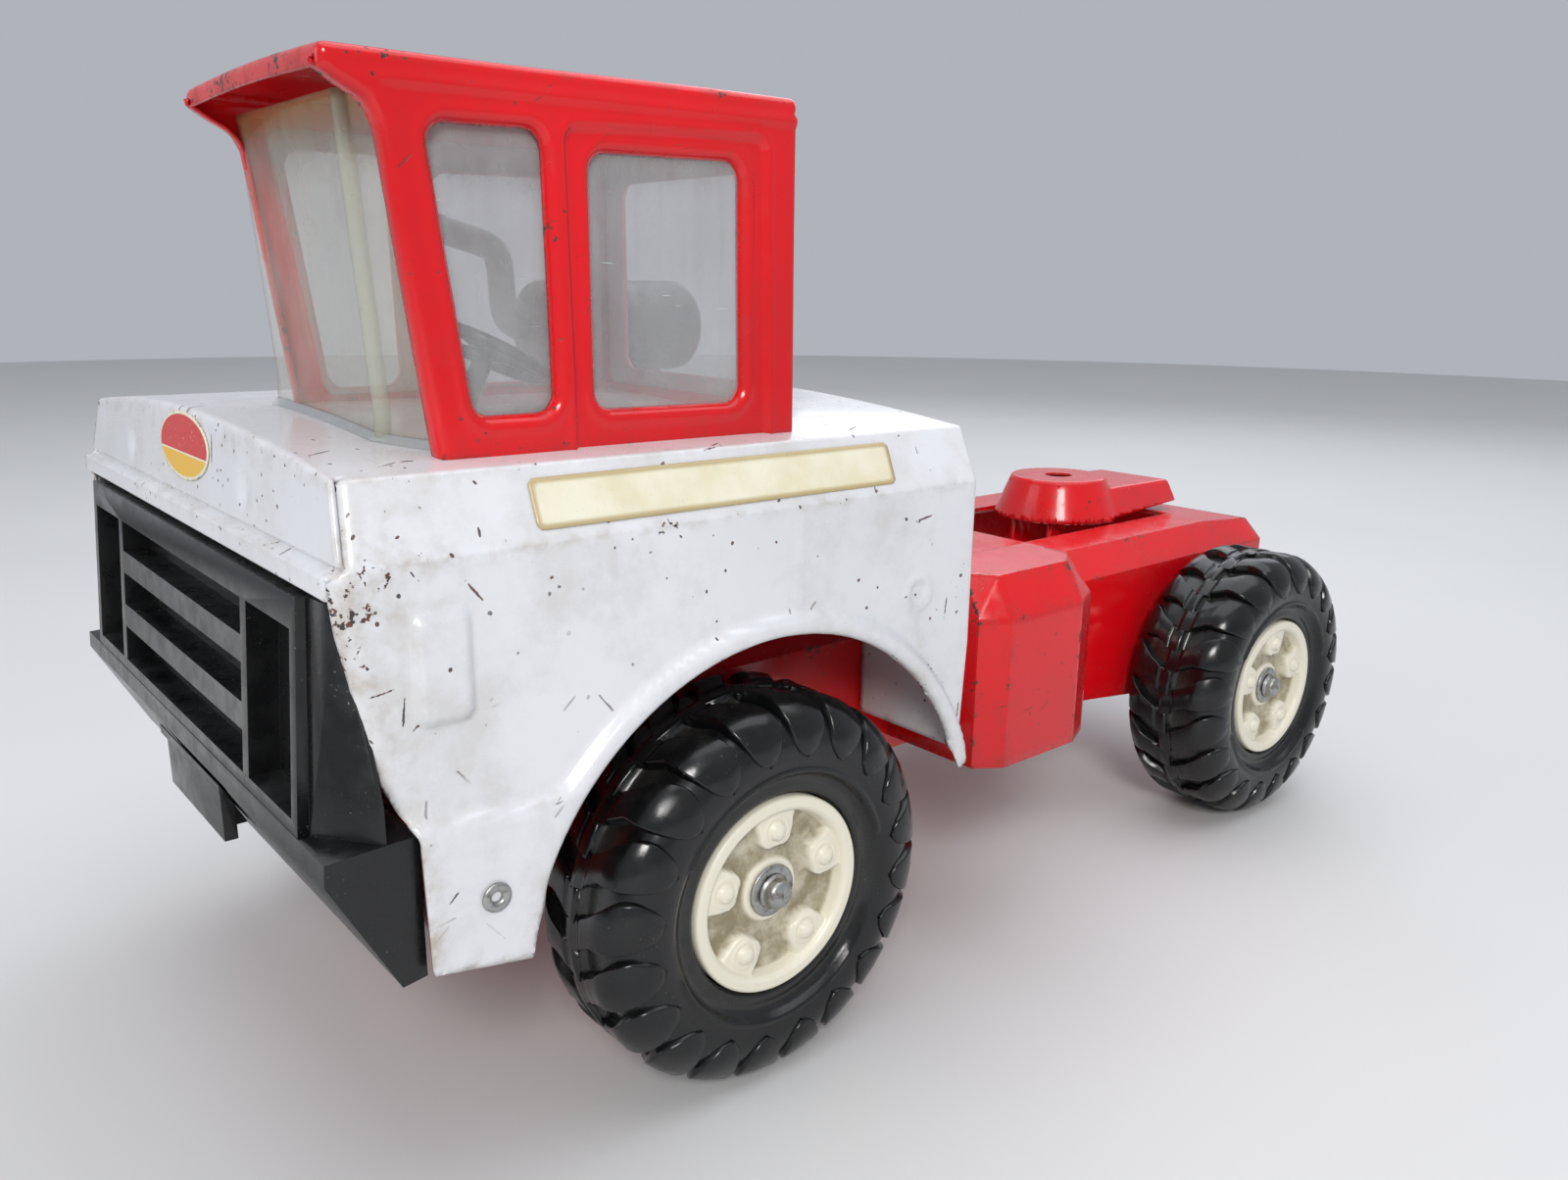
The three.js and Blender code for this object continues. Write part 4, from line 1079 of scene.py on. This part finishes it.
# how a lug runs, by the distance from the middle of the tread: (distances, half-widths or heights)
LUG_WIDTH = ([-2, 1.5, 4, 10, 13.5, 16, 20, 23], [4.6, 4.6, 4.1, 4.2, 5.9, 6.6, 6.2, 5.6])
LUG_HEIGHT = ([-2, 0, 1.2, 2.6, 4, 12, 15, 19, 23, 27], [0.5, 0.55, 1.0, 2.6, 3.1, 3.3, 2.6, 1.7, 1.1, 0.7])
LUG_LEAN = 0.45
TONGUE_START = 17.5
BEAD_GAP = 17.0  # plain sidewall left between a lug's tip and the bead


def polar(r, angle, y):
    return np.stack([r * np.cos(angle), y, r * np.sin(angle)], -1)


def carcass():
    half, _ = spline(CARCASS, 0.8)
    other = half[::-1][1:] * np.array([1, -1]) + np.array([0, -TYRE_W])
    section = np.vstack([half, other, [[46, -TYRE_W + 9], [46.5, -TYRE_W / 2], [46, -9]]])
    angles = np.linspace(0, 2 * math.pi, 192, endpoint=False)
    r = section[:, 0][None, :] + 0 * angles[:, None]
    y = section[:, 1][None, :] + 0 * angles[:, None]
    degrees = np.degrees(angles)[:, None]
    # raised arcs beside the rim, with a gap between them
    arcs = smooth(degrees, 28, 32) * smooth(degrees, 168, 164)
    arcs = arcs + smooth(degrees, 222, 226) * smooth(degrees, 342, 338)
    outside = y > -6
    y = y + 1.4 * arcs * np.exp(-((r - RIB_R) / 0.75) ** 2) * outside
    P, faces, _ = grid(polar(r, angles[:, None], y), closed_u=True, closed_v=True)
    deep = np.exp(-((P[:, 1] + 20) / 9) ** 4) * (np.hypot(P[:, 0], P[:, 2]) < 52)
    rim = np.exp(-(np.hypot(P[:, 0], P[:, 2]) - 31) ** 2 / 5) * (P[:, 1] > -8)
    return P, faces, np.maximum(deep, rim)


def lug(k, side):
    """one tread lug, from just past the centre line to a tongue on the sidewall"""
    half, s = spline(CARCASS, 0.5)
    half, s = half[::-1], s[-1] - s[::-1]
    tangent = np.gradient(half, axis=0)
    tangent /= np.linalg.norm(tangent, axis=1)[:, None]
    normal = np.stack([-tangent[:, 1], tangent[:, 0]], -1)
    normal *= np.sign(normal[:, 0].mean()) if abs(normal[:, 0].mean()) > 0.1 else 1
    end = s.max() - BEAD_GAP
    tongue = end - (end - 18.4) * np.cos(np.linspace(0.1, 1.5708, 10))
    stations = np.concatenate([[-1.5, 0, 1.5], np.linspace(2.6, 18, 13), tongue])
    rows = []
    for w in stations:
        x = max(w, 0)
        r, y = np.interp(x, s, half[:, 0]), np.interp(x, s, half[:, 1])
        nr, ny = np.interp(x, s, normal[:, 0]), np.interp(x, s, normal[:, 1])
        y -= max(-w, 0)
        slant = 0.5 * PITCH * smooth(w, -3, 21)
        tip = max(0.0, 1 - (max(w - TONGUE_START, 0) / (end - TONGUE_START)) ** 2.2) ** 0.6
        width = max(np.interp(w, *LUG_WIDTH) * tip, 0.25)
        height = np.interp(w, *LUG_HEIGHT)
        flank = [(width + LUG_LEAN, -0.6), (width, height - 0.42), (width - 0.18, height - 0.12),
                 (width - 0.5, height)]
        ring = [(-a, h) for a, h in flank] + [(0, height + 0.06)] + flank[::-1]
        angle = k * PITCH + slant + (0.5 * PITCH if side < 0 else 0)
        row = []
        for a, h in ring:
            rr, yy = r + nr * h, y + ny * h
            if side < 0:
                yy = -TYRE_W - yy
            row.append(polar(rr, angle + a / max(rr, 30), yy))
        rows.append(row)
    P, faces, wear = grid(np.array(rows), flip=side > 0)
    n = len(rows[0])
    caps = [list(range(n)), [len(P) - n + j for j in range(n)][::-1]]
    if side > 0:
        caps = [c[::-1] for c in caps]
    return P, faces + caps, wear


def tyre_part():
    return joined(carcass(), *[lug(k, side) for k in range(LUGS) for side in (1, -1)])


BORE_R = 3.3
HUB_WALL = 1.6
HUB_ARMS = 5
DISH_Y = -8.3
ARM_RISE = 3.7
NUT_R = 18.0  # from the axle to a nut
# (radii, y) across the hub's face
HUB_PROFILE = ([3, 8.3, 8.7, 9.5, 20.5, 22.2, 23.3, 23.9, 24.5, 26.6, 27.1, RIM_R],
               [-7, -7, -7.2, -8.2, -8.0, -7.4, -3.8, -3.1, -2.8, -2.8, -3.0, -3.5])


def hub_face():
    """the hub's face: a boss, a dish, five drop-shaped arms with nuts and a raised ring"""
    r = lines((BORE_R, 10, 0.45), (10, 22, 0.42), (22, RIM_R, 0.25))
    angles = np.linspace(0, 2 * math.pi, 280, endpoint=False)
    A, R = np.meshgrid(angles, r, indexing="ij")
    X, Z = R * np.cos(A), R * np.sin(A)
    y = np.interp(R, *HUB_PROFILE)
    cavity = smooth(y, -6.2, -7.6) * smooth(R, 8.6, 9.6)
    for k in range(HUB_ARMS):
        t = k * 2 * math.pi / HUB_ARMS + QUARTER
        c, s = math.cos(t), math.sin(t)
        a, b = X * c + Z * s, -X * s + Z * c
        outline = polygon([(13.2, -3.4), (15, -5.0), (24.5, -7.2), (24.5, 7.2), (15, 5.0), (13.2, 3.4)], 2.6)
        d = outline(a, b)
        y = np.maximum(y, np.where(d > -0.6, DISH_Y + ARM_RISE * smooth(d, -0.4, 0.3), -99))
        cavity = cavity * smooth(d, 0.1, -0.2)
        nut = np.hypot(a - NUT_R, b)
        y = y + 1.5 * smooth(2.5 - nut, -0.2, 0.35) + 0.35 * smooth(1.3 - nut, -0.2, 0.3)
        y = y + 0.35 * np.exp(-((nut - 3.7) / 0.5) ** 2) * (d > 0)
    P = polar(R, A, y)
    depth = np.array([-4.5, -8, -16, -28, -38.6])[None, :] + 0 * angles[:, None]
    W = polar(RIM_R + 0 * depth, angles[:, None], depth)
    flat, faces, _ = grid(np.concatenate([P, W], 1), closed_u=True)
    return flat, faces, np.concatenate([cavity, 0 * W[..., 0]], 1).reshape(-1)


WHEEL_FACE_Y = {"front": 107.4, "rear": 103.8}
CHASSIS_SIDE_Y = 60.8


def add_wheel(end, side, shared):
    """the pieces of one wheel; all wheels share one tyre mesh and one hub mesh"""
    s = 1 if side == "left" else -1
    face_y = WHEEL_FACE_Y[end]
    boss_end = CHASSIS_SIDE_Y - face_y
    prefix = f"{end}_{side}_"
    place = Matrix.Translation(Vector((middle(prefix + "tyre").x, s * face_y * MM, AXLE.z)))
    if s < 0:
        place = place @ Matrix.Rotation(math.pi, 4, "Z")

    def piece(name, part, material, slot, node, **more):
        return make(prefix + name, part, material, slot, [prefix + node], move=place, **more)

    if not shared:
        shared["tyre"] = piece("tyre_lugged", tyre_part(), TYRE, "tyre_black", "tyre", closed=True).data
        shared["dish"] = piece("hub_dish", hub_face(), IVORY, "ivory_plastic", "hub", thick=HUB_WALL).data
    else:
        piece("tyre_lugged", None, TYRE, "tyre_black", "tyre", mesh=shared["tyre"])
        piece("hub_dish", None, IVORY, "ivory_plastic", "hub", mesh=shared["dish"], thick=HUB_WALL)
    boss = [(BORE_R, -8.0), (7.6, -8.0), (7.9, -9), (8, boss_end + 0.5), (7.5, boss_end), (BORE_R, boss_end)]
    piece("hub_boss", lathe(boss, 40), IVORY, "ivory_plastic", "hub", closed=True)
    piece("washer_plate", lathe(WASHER, 40), STEEL, "bright_steel", "washer", closed=True)
    piece("push_cap", lathe(PUSH_CAP, 40), STEEL, "bright_steel", "axle_cap", closed=True)


# (radius, y) outlines, y from the wheel's outer face
WASHER = [(BORE_R, -6.8), (6.9, -6.8), (7.3, -6.6), (7.3, -6.2), (7.0, -5.9), (3.6, -5.9), (BORE_R, -6.1)]
PUSH_CAP = [
    (BORE_R, -5.8), (4.7, -5.8), (4.9, -5.5), (4.8, -5.1), (4.3, -4.9), (4.15, -4.4), (4.0, -3.0),
    (3.6, -2.3), (2.8, -1.8), (1.4, -1.5), (0.05, -1.4), (0.05, -2.4), (3.0, -2.9),
]
wheel_meshes = {}
for end_name in WHEEL_FACE_Y:
    for side_name in ("left", "right"):
        add_wheel(end_name, side_name, wheel_meshes)


# ------------------------------------------------------------------ cab fittings
COLUMN_TOP = (47, 45, 194)
COLUMN_TILT = math.radians(28)


def turned_about_column(part):
    """from a piece drawn about the Y axis to the steering column's place"""
    P, faces, wear = part
    tilt = COLUMN_TILT
    x, y, z = P.T
    x, y, z = x, -z, y
    X = x * math.cos(tilt) - z * math.sin(tilt)
    Z = x * math.sin(tilt) + z * math.cos(tilt)
    return np.stack([X, y, Z], -1) + np.array(COLUMN_TOP), faces, wear


def steering_wheel():
    a = np.linspace(0, 2 * math.pi, 56, endpoint=False)
    b = np.linspace(0, 2 * math.pi, 14, endpoint=False)
    A, B = np.meshgrid(a, b, indexing="ij")
    R = 15.5 + 1.55 * np.cos(B)
    rim = grid(np.stack([R * np.cos(A), 1.55 * np.sin(B), R * np.sin(A)], -1), True, True, flip=True)
    cap = lathe([(1.3, -1.5), (3.6, -1.5), (4.1, -1.1), (4.1, 0.9), (3.4, 1.6), (1.2, 1.9), (0.05, 1.95),
                 (0.05, 0.9), (1.3, 0.9)], 32)
    spokes = []
    for k in range(3):
        t = math.radians(90 + 120 * k)
        rows = []
        for r in np.linspace(3.2, 14.9, 8):
            w = np.interp(r, [3, 9, 15], [2.3, 1.5, 2.0])
            h = np.interp(r, [3, 15], [1.0, 0.7])
            ring = [(w, 0), (w * 0.7, h), (-w * 0.7, h), (-w, 0), (-w * 0.7, -h), (w * 0.7, -h)]
            c, s = math.cos(t), math.sin(t)
            rows.append([(r * c - q * s, p, r * s + q * c) for q, p in ring])
        P, faces, wear = grid(np.array(rows), closed_v=True)
        faces += [[5, 4, 3, 2, 1, 0], [len(P) - 6 + j for j in range(6)]]
        spokes.append((P, faces, wear))
    return turned_about_column(joined(rim, cap, *spokes))


make("steering_wheel_rim", steering_wheel(), BLACK, "black_plastic", ["steering_wheel"], closed=True)


def air_cleaner():
    """a round can lying along X with a raised middle seam, on a moulded foot"""
    x0, x1, y0, z0, r = -66.0, -6.0, -30.0, 196.0, 15.0
    corner = 5
    bend = np.linspace(0, QUARTER, 7)
    inner = r - corner
    profile = [(0.05, x0)]
    profile += [(inner + corner * math.sin(t), x0 + corner - corner * math.cos(t)) for t in bend]
    profile += [(r, x) for x in np.linspace(x0 + 8, -38.4, 5)]
    profile += [(r + 0.9, -37.6), (r + 0.9, -34.4), (r, -33.6)]
    profile += [(r, x) for x in np.linspace(-28, x1 - 8, 4)]
    profile += [(inner + corner * math.cos(t), x1 - corner + corner * math.sin(t)) for t in bend]
    profile += [(0.05, x1)]
    P, faces, wear = lathe(profile, 48, closed=False)
    can = (np.stack([P[:, 1], P[:, 0] + y0, P[:, 2] + z0], -1), [f[::-1] for f in faces], wear)
    rows = []
    for t in np.linspace(0, 1, 8):
        z = 184 - t * 7
        grow = 1 + 0.25 * t * t
        half = [(1, 0.8), (0.93, 1), (-0.93, 1), (-1, 0.8)]
        ring = [(a * 15 * grow, b * 8.5 * grow) for a, b in half + [(-a, -b) for a, b in half]]
        rows.append([(-36 + a, y0 + b, z) for a, b in ring])
    return joined(can, grid(np.array(rows), closed_v=True))


make("air_cleaner_can", air_cleaner(), BLACK, "black_plastic", ["air_cleaner"])


def tube(route, radius, sides=20):
    P = np.array(route, float)
    T = np.gradient(P, axis=0)
    T /= np.linalg.norm(T, axis=1)[:, None]
    side_way = np.array([0.0, 1.0, 0.0])
    other = np.cross(T, side_way)
    other /= np.linalg.norm(other, axis=1)[:, None]
    a = np.linspace(0, 2 * math.pi, sides, endpoint=False)
    rad = np.array(radius)
    spoke = np.cos(a)[None, :, None] * side_way + np.sin(a)[None, :, None] * other[:, None]
    ring = P[:, None] + rad[:, None, None] * spoke
    G, faces, wear = grid(ring, closed_v=True)
    n = len(G)
    return G, faces + [list(range(sides))[::-1], [n - sides + j for j in range(sides)]], wear


def intake_pipe():
    pts = [(-5.7, 196), (-2, 196.4), (2, 199.5), (3, 206), (3.4, 214), (5, 219.5), (10, 222), (18, 224.2),
           (24, 225.8)]
    route, s = spline(pts, 1.0)
    radius = 4.2 + 0.5 * np.exp(-((s - 1.5) / 1.2) ** 2) + 0.35 * np.exp(-((s - s[-1] + 1.5) / 1.2) ** 2)
    return tube([(x, -30, z) for x, z in route], radius)


make("intake_pipe_tube", intake_pipe(), BLACK, "black_plastic", ["intake_pipe"], bevel=0.4, closed=True)


# ------------------------------------------------------------------ small pieces
RIVET_X = 82
RIVET_Z = 82.7
FLARE_HALF = 106.2


def eyelet(s):
    P, faces, wear = lathe([
        (1.15, -2.5), (1.7, -2.5), (1.75, 0.15), (3.2, 0.2), (3.45, 0.4), (3.3, 0.75), (2.6, 1.0), (1.9, 0.9),
        (1.3, 0.4), (1.15, -0.4)], 36)
    place = np.array([RIVET_X, FLARE_HALF, RIVET_Z])
    if s < 0:
        return P * np.array([1, -1, 1]) + place * np.array([1, -1, 1]), [f[::-1] for f in faces], wear
    return P + place, faces, wear


def label(s):
    outer = polygon([(-41, -5.7), (66, -5.7), (66, 5.7), (-41, 5.7)], 1.6)
    slope = math.atan2(BODY_HALF - HOOD_EDGE_HALF, HOOD_EDGE_Z - HOOD_CREASE_Z)
    up = np.array([0, -math.sin(slope), math.cos(slope)])
    out = np.array([0, math.cos(slope), math.sin(slope)])

    def base(u, v):
        P = np.stack([u, 0 * u, 0 * u], -1) + v[..., None] * up + np.array([0, 99.9, 165.9]) + 0.12 * out
        P[..., 2] += (hood_edge_z(u) - HOOD_EDGE_Z) * 0.5
        return P, np.broadcast_to(out, P.shape).copy()

    part = skin(lines((-43, 68, 1.5)), lines((-7, 7, 0.7)), base, outer)
    return part if s > 0 else mirrored(part)


def badge():
    half_w, half_h, mid = 21.0, 8.4, 170.6

    def oval(y, z):
        k = np.hypot(y / half_w, z / half_h)
        return k * (1 - k) / np.maximum(np.hypot(y / half_w ** 2, z / half_h ** 2), 1e-6)

    def base(y, z):
        rise = hood_z(NOSE_TOP_X, y) - 158.8
        x = NOSE_CREASE_X - (z + mid - 158.8) * (NOSE_CREASE_X - NOSE_TOP_X) / rise
        P = np.stack([x + 0.42, y, z + mid], -1)
        return P, np.broadcast_to(np.array([0.99, 0, 0.13]), P.shape).copy()

    return skin(lines((-22, 22, 0.5)), lines((-9.5, 9.5, 0.5)), base, oval)


for name, s in (("left", 1), ("right", -1)):
    make(f"body_rivet_{name}_eyelet", eyelet(s), STEEL, "bright_steel", [f"body_rivet_{name}"])
    make(f"side_label_{name}_strip", label(s), label_material(), "printed_label", [f"side_label_{name}"],
         thick=0.12)
make("nose_badge_oval", badge(), badge_material(0.1702), "badge_print", ["nose_badge"], thick=0.25)


# ------------------------------------------------------------------ floor, light and camera
def plain(name, colour, rough):
    n = Nodes(name)
    tone = n.mix(n.span(n.noise(3, 2), 0.3, 0.7), colour, tuple(c * 0.97 for c in colour))
    return n.finish(Base_Color=tone, Roughness=rough)


def flat_floor():
    """a pale round floor"""
    mesh = bpy.data.meshes.new("floor")
    r = 3.0
    ring = [(r * math.cos(t), r * math.sin(t), 0) for t in np.linspace(0, 2 * math.pi, 64, endpoint=False)]
    mesh.from_pydata(ring, [], [list(range(64))])
    mesh.materials.append(plain("floor_paper", (0.66, 0.655, 0.65), 0.65))
    obj = bpy.data.objects.new("floor", mesh)
    bpy.context.scene.collection.objects.link(obj)
    return obj


flat_floor()


def soft_light(name, place, target, size, power, colour=(1, 1, 1)):
    data = bpy.data.lights.new(name, "AREA")
    data.shape = "RECTANGLE"
    data.size, data.size_y = size
    data.energy = power
    data.color = colour
    obj = bpy.data.objects.new(name, data)
    obj.location = place
    obj.rotation_euler = (Vector(target) - Vector(place)).to_track_quat("-Z", "Y").to_euler()
    bpy.context.scene.collection.objects.link(obj)


soft_light("sky", (-0.2, 0.0, 1.5), (0, 0, 0.1), (1.8, 1.8), 15, (0.93, 0.96, 1.0))
soft_light("key", (0.9, 1.1, 0.95), (0, 0, 0.12), (0.4, 0.4), 13, (1.0, 0.98, 0.95))
soft_light("front", (1.5, -0.6, 0.7), (0, 0, 0.12), (0.7, 1.0), 4, (0.95, 0.97, 1.0))
soft_light("back", (-1.2, -0.6, 0.9), (0, 0, 0.12), (1.2, 0.8), 4, (0.92, 0.95, 1.0))

bpy.context.scene.view_settings.view_transform = "Standard"
world = bpy.data.worlds.new("studio")
world.use_nodes = True
world.node_tree.nodes["Background"].inputs[0].default_value = (0.86, 0.90, 0.98, 1)
world.node_tree.nodes["Background"].inputs[1].default_value = 0.5
bpy.context.scene.world = world


def aim_camera():
    """from before the left front wheel, a little above the hood"""
    place = Vector((AXLE.x + 0.1881, 0.325, 0.2129))
    yaw = 4.006
    pitch = 0.254
    roll = 0.012
    look = Vector((math.cos(yaw) * math.cos(pitch), math.sin(yaw) * math.cos(pitch), -math.sin(pitch)))
    right = Vector((math.sin(yaw), -math.cos(yaw), 0))
    up = right.cross(look)
    right = math.cos(roll) * right + math.sin(roll) * up
    up = right.cross(look)
    data = bpy.data.cameras.new("view")
    data.sensor_width = 36
    data.lens = 27.72
    data.clip_start = 0.01
    obj = bpy.data.objects.new("view", data)
    turn = Matrix((right, up, -look)).transposed().to_4x4()
    obj.matrix_world = Matrix.Translation(place) @ turn
    bpy.context.scene.collection.objects.link(obj)
    bpy.context.scene.camera = obj


aim_camera()
